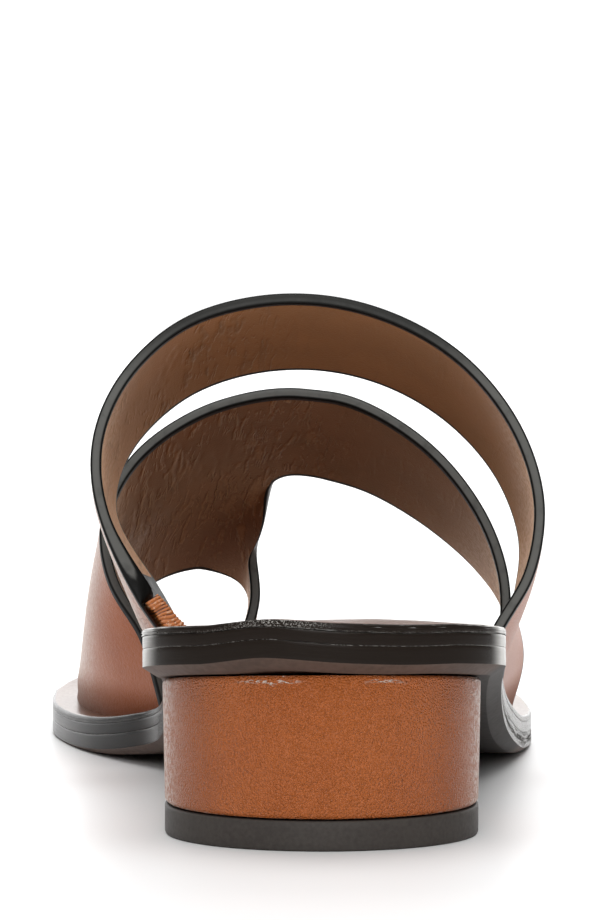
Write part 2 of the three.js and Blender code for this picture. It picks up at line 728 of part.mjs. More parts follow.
function fromManifold(solid) {
  const mesh = solid.getMesh();
  const geometry = new THREE.BufferGeometry();
  geometry.setAttribute('position', new THREE.Float32BufferAttribute(mesh.vertProperties, 3));
  geometry.setIndex([...mesh.triVerts]);
  geometry.computeVertexNormals();
  return geometry;
}

// A slot for each place where a strap goes down through the footbed, along the strap's own foot.
function footbedGeometry() {
  const slots = [
    slotCutter(instepFace.columns.at(0), 1, lapThickness),
    slotCutter(instepFace.columns.at(-1), -1, strapThickness),
    slotCutter([...toeFace.band.at(0), ...toeFace.loop.at(0).slice(1)], 1, strapThickness),
    slotCutter(toeFace.band.at(-1), -1, strapThickness),
    slotCutter(toeFace.loop.at(-1), -1, strapThickness),
  ];
  const blank = toManifold(footbedBlank());
  return fromManifold(slots.reduce((solid, slot) => solid.subtract(toManifold(slot)), blank));
}

const shapes = {
  outsole: outsoleGeometry(),
  midsole: midsoleGeometry(),
  footbed: footbedGeometry(),
  heel_block: heelBlockGeometry(),
  heel_top_piece: topPieceGeometry(),
  instep_strap: instepShell.geometry,
  toe_strap: toeShell.geometry,
  elastic_gore: goreGeometry(),
};

const sandal = new THREE.Group();
for (const [name, geometry] of Object.entries(shapes)) {
  const { color, roughness } = finishes[name];
  const piece = new THREE.Mesh(geometry, new THREE.MeshStandardMaterial({ color, roughness, metalness: 0 }));
  piece.name = name;
  sandal.add(piece);
}

const planAcross = solePlan.map((point) => point.x);
const planCentre = (Math.min(...planAcross) + Math.max(...planAcross)) / 2;
sandal.position.set(-planCentre, -soleLength / 2, 0);

export default sandal;
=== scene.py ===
"""A leather slide sandal for the right foot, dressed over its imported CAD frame.

The sole layers, the covered heel, both straps and the elastic gore are built from merged copies of their
CAD nodes, so that every piece keeps the place and the form that the frame gives it.
"""

from __future__ import annotations

import logging
import math
from bisect import bisect_right
from collections.abc import Iterable, Sequence
from dataclasses import dataclass, field
from enum import Enum, IntEnum

import bmesh
import bpy
from bmesh.types import BMEdge, BMesh, BMFace, BMVert
from mathutils import Euler, Matrix, Vector, noise


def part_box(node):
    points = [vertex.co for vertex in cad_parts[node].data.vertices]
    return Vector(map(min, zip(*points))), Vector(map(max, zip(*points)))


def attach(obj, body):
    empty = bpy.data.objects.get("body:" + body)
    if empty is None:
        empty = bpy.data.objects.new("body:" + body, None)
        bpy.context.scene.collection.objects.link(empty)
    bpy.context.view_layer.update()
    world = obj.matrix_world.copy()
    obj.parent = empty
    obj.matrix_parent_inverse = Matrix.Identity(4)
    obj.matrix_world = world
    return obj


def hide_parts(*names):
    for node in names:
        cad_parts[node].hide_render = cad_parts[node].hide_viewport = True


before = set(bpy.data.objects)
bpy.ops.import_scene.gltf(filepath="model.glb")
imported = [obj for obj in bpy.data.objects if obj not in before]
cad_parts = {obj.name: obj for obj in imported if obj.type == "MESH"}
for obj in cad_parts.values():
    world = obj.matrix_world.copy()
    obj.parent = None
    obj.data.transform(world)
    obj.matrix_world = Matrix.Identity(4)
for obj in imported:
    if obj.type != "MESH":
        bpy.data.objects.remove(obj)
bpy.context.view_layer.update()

logging.basicConfig(level=logging.INFO, format="%(message)s")
LOG = logging.getLogger("sandal")

MM = 0.001
CAP_TILT = 0.7
CAP_AREA = (3 * MM) ** 2
BROAD_AREA = (5 * MM) ** 2
CROWN_TILT = 0.6
RING_ANGLE = math.radians(22)
Colour = tuple[float, float, float]
Place = tuple[float, float, float]
Span = tuple[float, float]
Material = bpy.types.Material
Socket = bpy.types.NodeSocket


def srgb(red: int, green: int, blue: int) -> Colour:
    """Return a colour read off a screen, 0 to 255, as linear light."""

    def linear(level: int) -> float:
        """Return one of its parts as linear light."""
        share = level / 255
        return share / 12.92 if share <= 0.04045 else ((share + 0.055) / 1.055) ** 2.4

    return linear(red), linear(green), linear(blue)


def clamped(value: float) -> float:
    """Return a value held between 0 and 1."""
    return min(1.0, max(0.0, value))


def noise_at(place: Iterable[float], scale: Place) -> float:
    """Return smooth noise at a place, with each axis multiplied by its scale."""
    return noise.noise(Vector([part * factor for part, factor in zip(place, scale, strict=True)]))


class Mark(Enum):
    """Numbers kept on a mesh for its material."""

    BEAD = "bead"
    LEVEL = "level"
    FOLD = "fold"
    TUCK = "tuck"


class StrapSkin(IntEnum):
    """The material slots of a strap."""

    OUTER = 0
    LINING = 1
    EDGE = 2
    COVER_EDGE = 3


class Wave:
    """A number that varies over a surface: a shader socket that Python's operators work on."""

    def __init__(self, sheet: Dressing, socket: Socket) -> None:
        """Wrap a socket.

        Args:
            sheet: The material that the socket belongs to.
            socket: The output socket of a node in it.
        """
        self.sheet = sheet
        self.socket = socket

    def __add__(self, other: Wave | float) -> Wave:
        """Return the sum."""
        return self.sheet.maths("ADD", self, other)

    __radd__ = __add__

    def __sub__(self, other: Wave | float) -> Wave:
        """Return the difference."""
        return self.sheet.maths("SUBTRACT", self, other)

    def __rsub__(self, other: Wave | float) -> Wave:
        """Return other minus this."""
        return self.sheet.maths("SUBTRACT", other, self)

    def __mul__(self, other: Wave | float) -> Wave:
        """Return the product."""
        return self.sheet.maths("MULTIPLY", self, other)

    __rmul__ = __mul__

    def ridge(self) -> Wave:
        """Return 1 where this is a half, and less to both sides."""
        return 1.0 - self.sheet.maths("ABSOLUTE", self * 2.0 - 1.0)

    def step(self, low: float, high: float) -> Wave:
        """Return a soft step from 0 at low to 1 at high, either way round."""
        sockets = {"Value": self, "From Min": low, "From Max": high}
        node = self.sheet.node("ShaderNodeMapRange", sockets, interpolation_type="SMOOTHSTEP")
        return Wave(self.sheet, node.outputs["Result"])

    def line(self, middle: float, reach: float) -> Wave:
        """Return 1 where this is at the middle, fading out over a reach to both sides."""
        return self.step(middle - reach, middle) * self.step(middle + reach, middle)


Varying = Wave | float
Paint = Colour | Socket


class Dressing:
    """One node material, built up from a few calls."""

    def __init__(self, name: str) -> None:
        """Start an empty material.

        Args:
            name: The material's name.
        """
        self.material = bpy.data.materials.new(name)
        self.material.use_nodes = True
        self.tree = self.material.node_tree
        self.tree.nodes.clear()
        self.object_place = self.node("ShaderNodeTexCoord").outputs["Object"]

    def node(
        self, kind: str, sockets: dict[str | int, object] | None = None, **settings: object
    ) -> bpy.types.Node:
        """Add a node.

        Args:
            kind: The node's type.
            sockets: Values or links of its inputs, by name or number.
            **settings: Its own settings, put in before its sockets.

        Returns:
            The new node.
        """
        made = self.tree.nodes.new(kind)
        for name, value in settings.items():
            setattr(made, name, value)
        for name, value in (sockets or {}).items():
            self._feed(made.inputs[name], value)
        return made

    def _feed(self, target: Socket, value: object) -> None:
        """Link or set one input socket.

        Args:
            target: The input socket.
            value: A wave, an output socket, a colour or a number.
        """
        if isinstance(value, Wave):
            value = value.socket
        if isinstance(value, Socket):
            self.tree.links.new(value, target)
        elif target.type == "RGBA":
            target.default_value = (*value, 1.0)
        else:
            target.default_value = value

    def maths(self, operation: str, *values: Varying) -> Wave:
        """Return the result of a Math node on the values."""
        made = self.node("ShaderNodeMath", dict(enumerate(values)), operation=operation)
        return Wave(self, made.outputs[0])

    def place(self, x: float = 1.0, y: float = 1.0, z: float = 1.0) -> Socket:
        """Return Object coordinates in metres, with each axis multiplied by its stretch."""
        if (x, y, z) == (1.0, 1.0, 1.0):
            return self.object_place
        sockets = {0: self.object_place, 1: (x, y, z)}
        return self.node("ShaderNodeVectorMath", sockets, operation="MULTIPLY").outputs[0]

    def along(self, axis: str) -> Wave:
        """Return one Object coordinate, named x, y or z, in metres."""
        parts = self.node("ShaderNodeSeparateXYZ", {0: self.object_place})
        return Wave(self, parts.outputs[axis.upper()])

    def mark(self, mark: Mark) -> Wave:
        """Return a number kept on the mesh."""
        made = self.node("ShaderNodeAttribute", attribute_type="GEOMETRY", attribute_name=mark.value)
        return Wave(self, made.outputs["Fac"])

    def joined(self, x: Varying, y: Varying, z: Varying) -> Socket:
        """Return a vector from three numbers."""
        return self.node("ShaderNodeCombineXYZ", {0: x, 1: y, 2: z}).outputs[0]

    def grazing(self) -> Wave:
        """Return 0 where the surface faces the viewer, up to 1 where it turns away."""
        return Wave(self, self.node("ShaderNodeLayerWeight", {"Blend": 0.5}).outputs["Facing"])

    def cloud(self, vector: Socket, scale: float, detail: float = 2.0, rough: float = 0.5) -> Wave:
        """Return a noise pattern between 0 and 1.

        Args:
            vector: Where it is read.
            scale: How many spots it has in a metre.
            detail: How many finer patterns lie on it.
            rough: How strong those are.

        Returns:
            The pattern.
        """
        sockets = {"Vector": vector, "Scale": scale, "Detail": detail, "Roughness": rough}
        return Wave(self, self.node("ShaderNodeTexNoise", sockets).outputs["Fac"])

    def cells(self, scale: float) -> Wave:
        """Return a cell pattern: the distance to the nearest cell's centre."""
        made = self.node("ShaderNodeTexVoronoi", {"Vector": self.object_place, "Scale": scale})
        return Wave(self, made.outputs["Distance"])

    def blend(self, share: Varying, first: Paint, second: Paint) -> Socket:
        """Return the first colour with a share of the second mixed in."""
        return self.node("ShaderNodeMix", {0: share, 6: first, 7: second}, data_type="RGBA").outputs[2]

    def relief(self, height: Wave, depth: float, under: Socket | None = None) -> Socket:
        """Return a bumped normal.

        Args:
            height: The pattern of the relief, between 0 and 1.
            depth: Its depth in metres.
            under: A bumped normal that it lies on, if there is one.

        Returns:
            The socket of the new normal.
        """
        sockets: dict[str | int, object] = {"Height": height, "Distance": depth, "Strength": 1.0}
        if under is not None:
            sockets["Normal"] = under
        return self.node("ShaderNodeBump", sockets).outputs[0]

    def finish(
        self, colour: Paint, rough: Varying, normal: Socket | None, **fixed: float | Colour
    ) -> Material:
        """Join the shader to the output.

        Args:
            colour: The base colour.
            rough: The roughness.
            normal: A bumped normal, or None.
            **fixed: Values that are the same all over, by the names of the shader's own sockets.

        Returns:
            The finished material.
        """
        sockets: dict[str | int, object] = {"Base Color": colour, "Roughness": rough, **fixed}
        if normal is not None:
            sockets["Normal"] = normal
        shader = self.node("ShaderNodeBsdfPrincipled", sockets)
        self.node("ShaderNodeOutputMaterial", {"Surface": shader.outputs[0]})
        return self.material


@dataclass(frozen=True)
class PolishedLeather:
    """Cognac outer leather with a fine pebbled grain and a polished face, and painted sheen, glints and shade
    in its colour.

    Spans are places on the shoe from none to full, or a middle and a reach for the glints.
    """

    name: str
    colour: Colour
    deep: Colour
    gloss: float
    pebble_depth: float
    shade: float = 0.0
    # The grain's colour, also used for painted shade.
    pore_and_shade: Colour = srgb(112, 58, 28)
    painted_sheen: Colour = srgb(208, 188, 176)
    painted_fold_shade: Colour = srgb(84, 34, 26)
    painted_sheen_grain: float = 0.4
    one_sided: float = 0.12
    painted_sheen_from: float = 0.6
    painted_sheen_side: Span = (30 * MM, -20 * MM)
    painted_shade_sides: Span | None = None
    shaded_foot: Span = (15 * MM, 9 * MM)
    lump_depth: float = 0.08 * MM
    pebble: float = 0.32 * MM
    fold_depth: float = 0.08 * MM
    fold_side: Span = (-22 * MM, -25 * MM)
    fold_front: Span = (-0.5 * MM, -1.5 * MM)
    fold_rear: Span = (-60 * MM, -50 * MM)
    fold_top: Span = (58 * MM, 46 * MM)
    glint_height: Span = (0.68, 0.16)
    inner_glint: Span = (-9.0 * MM, 6.5 * MM)
    outer_glint: Span = (9.5 * MM, 4.5 * MM)
    rough: float = 0.25

    def material(self) -> Material:
        """Return the material."""
        m = Dressing(self.name)
        across = m.along("x")
        pebbles = m.cells(1 / self.pebble)
        lumps = m.cloud(m.place(), 0.4 / self.pebble, 3.0)
        broad = m.cloud(m.place(), 60.0, 3.0)
        colour = m.blend(broad.step(0.35, 0.7) * 0.5, self.colour, self.deep)
        colour = m.blend(pebbles.step(0.5, 0.85) * 0.14, colour, self.pore_and_shade)
        # Painted shade: the heel's sides are darkened towards the grain colour.
        if self.painted_shade_sides:
            near, far = self.painted_shade_sides
            outward = across.step(near, far) + across.step(-near, -far)
            colour = m.blend(outward * 0.35, colour, self.pore_and_shade)
        # Painted sheen: a whitish colour mixed in where the surface turns away from the viewer, more on the
        # inner side and broken up by the grain.
        side = across.step(*self.painted_sheen_side) * (1.0 - self.one_sided) + self.one_sided
        grainy = lumps.step(0.4, 0.62) * self.painted_sheen_grain + 1.0 - self.painted_sheen_grain
        colour = m.blend(m.grazing().step(self.painted_sheen_from, 1.0) * side * grainy, colour, self.painted_sheen)
        # Painted shade: the strap darkens towards the grain colour near its foot.
        shaded = m.along("z").step(*self.shaded_foot) * self.shade
        colour = m.blend(shaded, colour, self.pore_and_shade)
        folds = self._folds(m)
        # Painted shade along the faint folds.
        colour = m.blend(folds * 0.2, colour, self.painted_fold_shade)
        # Painted highlights: the broken glints under the top edge of the heel's cover.
        colour = m.blend(self._glints(m), colour, self.painted_sheen)
        normal = m.relief(lumps, self.lump_depth)
        normal = m.relief(1.0 - folds, self.fold_depth, normal)
        normal = m.relief(1.0 - pebbles, self.pebble_depth, normal)
        rough = self.rough + pebbles * 0.12 + lumps * 0.1 + shaded * 0.5
        return m.finish(colour, rough, normal, **{"Specular IOR Level": self.gloss})

    def _folds(self, m: Dressing) -> Wave:
        """Return the faint folds of the instep strap's inner side, above the gore."""
        there = m.along("x").step(*self.fold_side) * m.along("y").step(*self.fold_front)
        there = there * m.along("z").step(*self.fold_top) * m.along("y").step(*self.fold_rear)
        return m.cloud(m.place(1.0, 0.3, 1.2), 520.0, 1.0).ridge().step(0.84, 0.98) * there

    def _glints(self, m: Dressing) -> Wave:
        """Return the two broken glints just under the top edge of the heel's cover, painted as highlights."""
        across = m.along("x")
        there = across.line(*self.inner_glint) * 2.0 + across.line(*self.outer_glint) * 1.3
        broken = m.cloud(m.place(1.0, 1.0, 3.6), 1300.0, 1.0).step(0.5, 0.56)
        return m.mark(Mark.TUCK).line(*self.glint_height) * broken * there


@dataclass(frozen=True)
class LiningLeather:
    """Brown lining with fine broken creases that run across a strap, from its rear edge to its front, with
    painted light, shade and sheen in its colour.
    """

    name: str
    colour: Colour
    deep: Colour
    wear_and_crease_shading: Colour
    light: Colour
    crease_depth: float
    creased_side: Span
    painted_light_foot: Span
    painted_light_all: float
    painted_sheen: Colour = srgb(222, 204, 192)
    grain_depth: float = 0.02 * MM
    rough: float = 0.32
    sheen_tint: Colour = (1.0, 0.62, 0.36)

    def material(self) -> Material:
        """Return the material."""
        m = Dressing(self.name)
        drawn = m.place(1.0, 0.2, 0.6)
        wander = m.cloud(m.place(), 160.0, 2.0)
        across = m.along("x") - m.along("z") * 0.16 + wander * 0.0014
        run = m.joined(across, m.along("y") * 0.06, m.along("z") * 0.14)
        lines = m.cloud(run, 520.0, 1.0, 0.4).ridge().step(0.8, 1.0)
        lines = lines * m.cloud(drawn, 330.0, 2.0).step(0.46, 0.6)
        finer = m.cloud(run, 1250.0, 1.0, 0.4).ridge().step(0.78, 1.0)
        finer = finer * m.cloud(drawn, 620.0, 2.0).step(0.48, 0.6)
        patches = m.cloud(drawn, 120.0, 1.0).step(0.32, 0.48)
        lumps = m.cloud(m.place(), 1300.0, 2.0)
        inner = m.along("x").step(*self.creased_side)
        grain = m.cells(2400.0)
        broad = m.cloud(m.place(), 45.0, 3.0)
        crinkle = (lines * 0.7 + finer * 0.4) * patches * (inner * 0.85 + 0.15)
        colour = m.blend(broad.step(0.3, 0.72), self.colour, self.deep)
        # Painted light: the lining turns lighter towards its foot, fully on its inner side and by a set share
        # elsewhere.
        light = m.along("z").step(*self.painted_light_foot) * (inner * (1.0 - self.painted_light_all) + self.painted_light_all)
        colour = m.blend(light, colour, self.light)
        # Painted light and shade on the crinkles: lighter on the toe lining, darker on the instep lining.
        colour = m.blend(crinkle * 0.5, colour, self.wear_and_crease_shading)
        colour = m.blend(grain.step(0.5, 0.8) * 0.2, colour, self.deep)
        # Painted sheen: a whitish colour where the surface turns away from the viewer, broken by lumps.
        sheen = m.grazing().step(0.76, 0.97) * (lumps.step(0.4, 0.6) * 0.6 + 0.4)
        colour = m.blend(sheen, colour, self.painted_sheen)
        normal = m.relief(crinkle, self.crease_depth)
        normal = m.relief(grain, self.grain_depth, normal)
        rough = self.rough + broad * 0.08 + grain * 0.08
        fixed = {"Sheen Weight": 0.6, "Sheen Roughness": 0.4, "Sheen Tint": self.sheen_tint}
        return m.finish(colour, rough, normal, **{"Specular IOR Level": 0.01}, **fixed)


@dataclass(frozen=True)
class PaintedEdge:
    """Dark paint laid on a cut edge as a bead, with a painted highlight down its middle, lighter lower down
    as painted light, and painted shade where it meets the leather on both sides.
    """

    name: str
    middle: Colour
    low: Colour
    side: Colour
    painted_light_below: Span = (82 * MM, 68 * MM)
    drift_depth: float = 0.08 * MM
    fine_depth: float = 0.012 * MM
    rough: float = 0.3

    def material(self) -> Material:
        """Return the material."""
        m = Dressing(self.name)
        drift = m.cloud(m.place(), 420.0, 3.0)
        # Painted light: the bead's middle takes the second colour lower down.
        middle = m.blend(m.along("z").step(*self.painted_light_below), self.middle, self.low)
        # Painted highlight along the bead's middle and painted shade along its sides, where it meets the
        # leather.
        colour = m.blend(m.mark(Mark.BEAD).step(0.15, 0.5), self.side, middle)
        colour = m.blend(drift.step(0.5, 0.8) * 0.35, colour, self.side)
        normal = m.relief(drift, self.drift_depth)
        normal = m.relief(m.cloud(m.place(), 2600.0, 2.0), self.fine_depth, normal)
        return m.finish(colour, self.rough + drift * 0.2, normal, **{"Specular IOR Level": 0.14})


@dataclass(frozen=True)
class DressedSoleEdge:
    """Black dressed sole edge, with the streaks and scratches that burnishing leaves along it, painted
    highlights on its lip and a painted silvery reflection at the heel seat and the outer rim.

    Levels count from the midsole's top face. Spans are places from none to full, or a middle and a reach.
    """

    colour: Colour = srgb(36, 30, 26)
    forepart: Colour = srgb(12, 10, 9)
    wear_and_crease_shading: Colour = srgb(52, 47, 43)
    scratch_and_highlight: Colour = srgb(190, 186, 180)
    painted_reflection: Colour = srgb(205, 203, 198)
    lip_seam: Span = (0.15 * MM, 0.35 * MM)
    sole_seam: Span = (-2.05 * MM, 0.08 * MM)
    lip_top: Span = (0.3 * MM, 0.6 * MM)
    beads: Span = (-8 * MM, 11 * MM)
    heel_seat: Span = (-60 * MM, -80 * MM)
    fore: Span = (-20 * MM, 10 * MM)
    inner_side: Span = (10 * MM, 0.0)
    outer_half: Span = (0.0, 20 * MM)
    outer_rim: Span = (20 * MM, 34 * MM)
    smudge_level: Span = (-3.2 * MM, 1.7 * MM)
    smudge_side: Span = (20 * MM, 30 * MM)
    smudge_rear: Span = (-60 * MM, -40 * MM)
    streak_depth: float = 0.012 * MM
    scratch_depth: float = 0.015 * MM
    speck_depth: float = 0.05 * MM
    rough: float = 0.17

    def material(self) -> Material:
        """Return the material."""
        m = Dressing("dressed_sole_edge")
        level = m.mark(Mark.LEVEL)
        across = m.along("x")
        along = m.along("y")
        streaks = m.cloud(m.joined(across * 60.0, along * 60.0, level * 5200.0), 1.0, 4.0, 0.65)
        scratches = m.cloud(m.joined(across * 150.0, along * 150.0, level * 9000.0), 1.0, 2.0, 0.5)
        specks = m.cloud(m.place(), 4600.0, 1.0)
        dashes = m.cloud(m.place(1.0, 1.0, 0.2), 1900.0, 1.0).step(0.5, 0.56)
        patches = m.cloud(m.place(), 90.0, 2.0).step(0.4, 0.5)
        behind = along.step(*self.heel_seat)
        beaded = across.line(*self.beads)
        # A light scratch line along a layer seam; painted highlights as specks along the footbed's lip and on
        # its top at the heel seat.
        seam = level.line(*self.sole_seam) * dashes * patches
        lip = level.line(*self.lip_seam) * specks.step(0.5, 0.6) * (beaded + 0.35)
        top = level.step(*self.lip_top) * specks.step(0.54, 0.6) * beaded * behind
        colour = m.blend(along.step(*self.fore) * across.step(*self.inner_side), self.colour, self.forepart)
        wear_and_crease_shading = streaks.step(0.55, 0.76) * 0.3 + scratches.step(0.62, 0.74) * 0.25
        colour = m.blend(wear_and_crease_shading, colour, self.wear_and_crease_shading)
        colour = m.blend(seam * 0.6 + lip * 0.5 + top * 0.7, colour, self.scratch_and_highlight)
        # Painted reflection: a silvery colour where the edge turns away from the viewer, at the heel seat and
        # along the outer rim, broken by the matt smudges.
        painted_reflection = m.grazing().step(0.58, 0.88) * (0.6 + streaks * 0.4 + across.step(*self.outer_half) * 0.22)
        painted_reflection = painted_reflection * (behind + across.step(*self.outer_rim) * 0.25)
        smudges = self._smudges(m, level)
        colour = m.blend(painted_reflection * (1.0 - smudges * 0.85), colour, self.painted_reflection)
        normal = m.relief(streaks, self.streak_depth)
        normal = m.relief(scratches, self.scratch_depth, normal)
        normal = m.relief(specks * (lip + top), self.speck_depth, normal)
        rough = self.rough + streaks * 0.1 + smudges * 0.55
        return m.finish(colour, rough, normal, **{"Specular IOR Level": 0.065})

    def _smudges(self, m: Dressing, level: Wave) -> Wave:
        """Return the matt smudges that run along the outer side of the forepart."""
        smears = m.joined(m.along("x") * 160.0, m.along("y") * 70.0, level * 1300.0)
        there = m.along("x").step(*self.smudge_side) * m.along("y").step(*self.smudge_rear)
        return m.cloud(smears, 1.0, 4.0, 0.8).step(0.42, 0.56) * level.line(*self.smudge_level) * there


@dataclass(frozen=True)
class PlainSurface:
    """A plain matt or satin surface with a fine mottle, darker under the arch if it has a shaded colour."""

    name: str
    colour: Colour
    deep: Colour
    rough: float
    gloss: float = 0.3
    mottle: float = 900.0
    depth: float = 0.02 * MM
    shaded: Colour | None = None
    arch_rear: Span = (-108 * MM, -100 * MM)
    arch_front: Span = (8 * MM, -2 * MM)
    arch_side: Span = (14 * MM, 20 * MM)

    def material(self) -> Material:
        """Return the material."""
        m = Dressing(self.name)
        fine = m.cloud(m.place(), self.mottle, 3.0)
        broad = m.cloud(m.place(), 70.0, 2.0)
        colour = m.blend((fine * 0.5 + broad * 0.5).step(0.35, 0.7), self.colour, self.deep)
        if self.shaded:
            arch = m.along("y").step(*self.arch_rear) * m.along("y").step(*self.arch_front)
            colour = m.blend(arch * m.along("x").step(*self.arch_side), colour, self.shaded)
        normal = m.relief(fine, self.depth)
        return m.finish(colour, self.rough + fine * 0.15, normal, **{"Specular IOR Level": self.gloss})


@dataclass(frozen=True)
class GatheredLeather:
    """Tan leather gathered over elastic, with painted shade down in the folds and painted highlights on their
    crests.
    """

    colour: Colour = srgb(190, 112, 58)
    deep: Colour = srgb(62, 27, 13)
    scratch_and_highlight: Colour = srgb(240, 205, 172)
    depth: float = 0.06 * MM
    rough: float = 0.26

    def material(self) -> Material:
        """Return the material."""
        m = Dressing("gathered_leather")
        fold = m.mark(Mark.FOLD)
        fine = m.cloud(m.place(), 1800.0, 3.0)
        # Painted shade: the folds are darker down in their troughs.
        colour = m.blend(fold.step(0.15, 0.6), self.deep, self.colour)
        # Painted highlights: specks on the crests of the folds.
        colour = m.blend(fold.step(0.6, 0.9) * fine.step(0.54, 0.6) * 0.7, colour, self.scratch_and_highlight)
        colour = m.blend(fine.step(0.55, 0.8) * 0.35, colour, self.deep)
        normal = m.relief(fine, self.depth)
        return m.finish(colour, self.rough + fine * 0.2, normal, **{"Specular IOR Level": 0.5})


@dataclass(frozen=True)
class Wardrobe:
    """Every finish of the sandal, made once."""

    outer: Material
    heel_leather: Material
    instep_lining: Material
    toe_lining: Material
    edge: Material
    cover_edge: Material
    sole_edge: Material
    tread: Material
    insole: Material
    top_piece: Material
    gathers: Material

    @classmethod
    def made(cls) -> Wardrobe:
        """Return the finishes."""
        outer = PolishedLeather("strap_leather", srgb(164, 88, 44), srgb(148, 77, 37), 0.19, 0.04 * MM, 0.6)
        heel = PolishedLeather(
            "heel_leather",
            srgb(182, 98, 42),
            srgb(170, 88, 36),
            gloss=0.42,
            pebble_depth=0.4 * MM,
            one_sided=1.0,
            painted_sheen_grain=1.0,
            painted_sheen_from=0.47,
            painted_shade_sides=(15 * MM, 23 * MM),
            lump_depth=0.14 * MM,
        )
        instep = LiningLeather(
            "instep_lining",
            srgb(138, 82, 41),
            srgb(120, 71, 34),
            wear_and_crease_shading=srgb(58, 38, 22),
            light=srgb(200, 150, 112),
            crease_depth=0.2 * MM,
            creased_side=(2 * MM, -14 * MM),
            painted_light_foot=(78 * MM, 38 * MM),
            painted_light_all=0.0,
        )
        toe = LiningLeather(
            "toe_lining",
            srgb(110, 55, 22),
            srgb(92, 45, 18),
            wear_and_crease_shading=srgb(164, 110, 68),
            light=srgb(142, 108, 90),
            crease_depth=0.28 * MM,
            creased_side=(14 * MM, -2 * MM),
            painted_light_foot=(44 * MM, 22 * MM),
            painted_light_all=0.75,
        )
        edge = PaintedEdge("painted_edge", srgb(48, 48, 46), srgb(98, 98, 95), srgb(14, 14, 13))
        cover_edge = PaintedEdge("cover_edge", srgb(84, 38, 30), srgb(84, 38, 30), srgb(40, 18, 14))
        tread = PlainSurface("tread", srgb(88, 70, 61), srgb(72, 57, 49), 0.5, shaded=srgb(36, 30, 26))
        insole = PlainSurface(
            "insole_leather", srgb(100, 64, 44), srgb(86, 54, 36), 0.25, 0.6, 1300.0, 0.015 * MM
        )
        top_piece = PlainSurface("top_piece", srgb(66, 61, 57), srgb(56, 51, 48), 0.55, mottle=1500.0)
        finishes = (
            outer, heel, instep, toe, edge, cover_edge, DressedSoleEdge(), tread, insole, top_piece,
            GatheredLeather(),
        )
        return cls(*(finish.material() for finish in finishes))


def join_pairs(bm: BMesh, faces: list[BMFace]) -> None:
    """Join pairs of triangles that lie nearly flat into quads."""
    bmesh.ops.join_triangles(
        bm,
        faces=faces,
        cmp_materials=True,
        angle_face_threshold=math.radians(40),
        angle_shape_threshold=math.pi,
    )
    bm.normal_update()


def as_mesh(bm: BMesh, name: str) -> bpy.types.Mesh:
    """Return a mesh made from a bmesh, which is then freed."""
    mesh = bpy.data.meshes.new(name)
    bm.to_mesh(mesh)
    bm.free()
    return mesh


def subdivided(bm: BMesh, levels: int) -> BMesh:
    """Return the bmesh after Subdivision Surface, with its marks and material slots kept.

    Args:
        bm: The control cage, which is freed.
        levels: How many times it is subdivided.

    Returns:
        The finer bmesh.
    """
    cage = bpy.data.objects.new("cage", as_mesh(bm, "cage"))
    bpy.context.scene.collection.objects.link(cage)
    modifier = cage.modifiers.new("smooth", "SUBSURF")
    modifier.levels = levels
    modifier.render_levels = levels
    finer = bpy.data.meshes.new_from_object(cage.evaluated_get(bpy.context.evaluated_depsgraph_get()))
    result = bmesh.new()
    result.from_mesh(finer)
    old = cage.data
    bpy.data.objects.remove(cage)
    bpy.data.meshes.remove(old)
    bpy.data.meshes.remove(finer)
    result.normal_update()
    return result


def caps(bm: BMesh, up: float) -> list[BMFace]:
    """Return the faces of a layer's top, with up as 1, or of its bottom, with up as -1."""
    return [f for f in bm.faces if f.normal.z * up > CAP_TILT and f.calc_area() > CAP_AREA]


def crease_rings(bm: BMesh, amount: float, angle: float = RING_ANGLE) -> None:
    """Crease the sharp edges of a cage, so that subdividing keeps their section.

    Args:
        bm: The cage.
        amount: How sharp they stay, 0 to 1.
        angle: The least angle of an edge that is creased, in radians.
    """
    crease = bm.edges.layers.float.new("crease_edge")
    for edge in bm.edges:
        if edge.calc_face_angle(0.0) > angle:
            edge[crease] = amount


def inset(bm: BMesh, faces: list[BMFace], thickness: float) -> list[BMFace]:
    """Return the new faces round a region of faces that is inset."""
    ring = bmesh.ops.inset_region(
        bm, faces=faces, thickness=thickness, use_even_offset=True, use_boundary=True
    )
    return ring["faces"]


def flood(seed: BMFace, allowed: set[BMFace], sharpest: float = math.pi) -> set[BMFace]:
    """Return the allowed faces that join up with a face.

    Args:
        seed: The face to start from.
        allowed: The faces that may be entered.
        sharpest: The sharpest edge that is crossed, in radians.

    Returns:
        The faces, with the seed among them.
    """
    found = {seed}
    waiting = [seed]
    while waiting:
        for edge in waiting.pop().edges:
            if edge.calc_face_angle(0.0) > sharpest:
                continue
            for neighbour in edge.link_faces:
                if neighbour in allowed and neighbour not in found:
                    found.add(neighbour)
                    waiting.append(neighbour)
    return found


def out_of_plan(vert: BMVert, ring: Iterable[BMEdge]) -> Vector:
    """Return the level direction out of an outline at one of its corners.

    Args:
        vert: The corner.
        ring: The outline's edges at it.

    Returns:
        A level direction of length one.
    """
    total = Vector((0.0, 0.0, 0.0))
    for edge in ring:
        run = edge.other_vert(vert).co - vert.co
        side = Vector((run.y, -run.x, 0.0)).normalized()
        total += side if side.dot(vert.co) > 0 else -side
    return total.normalized()


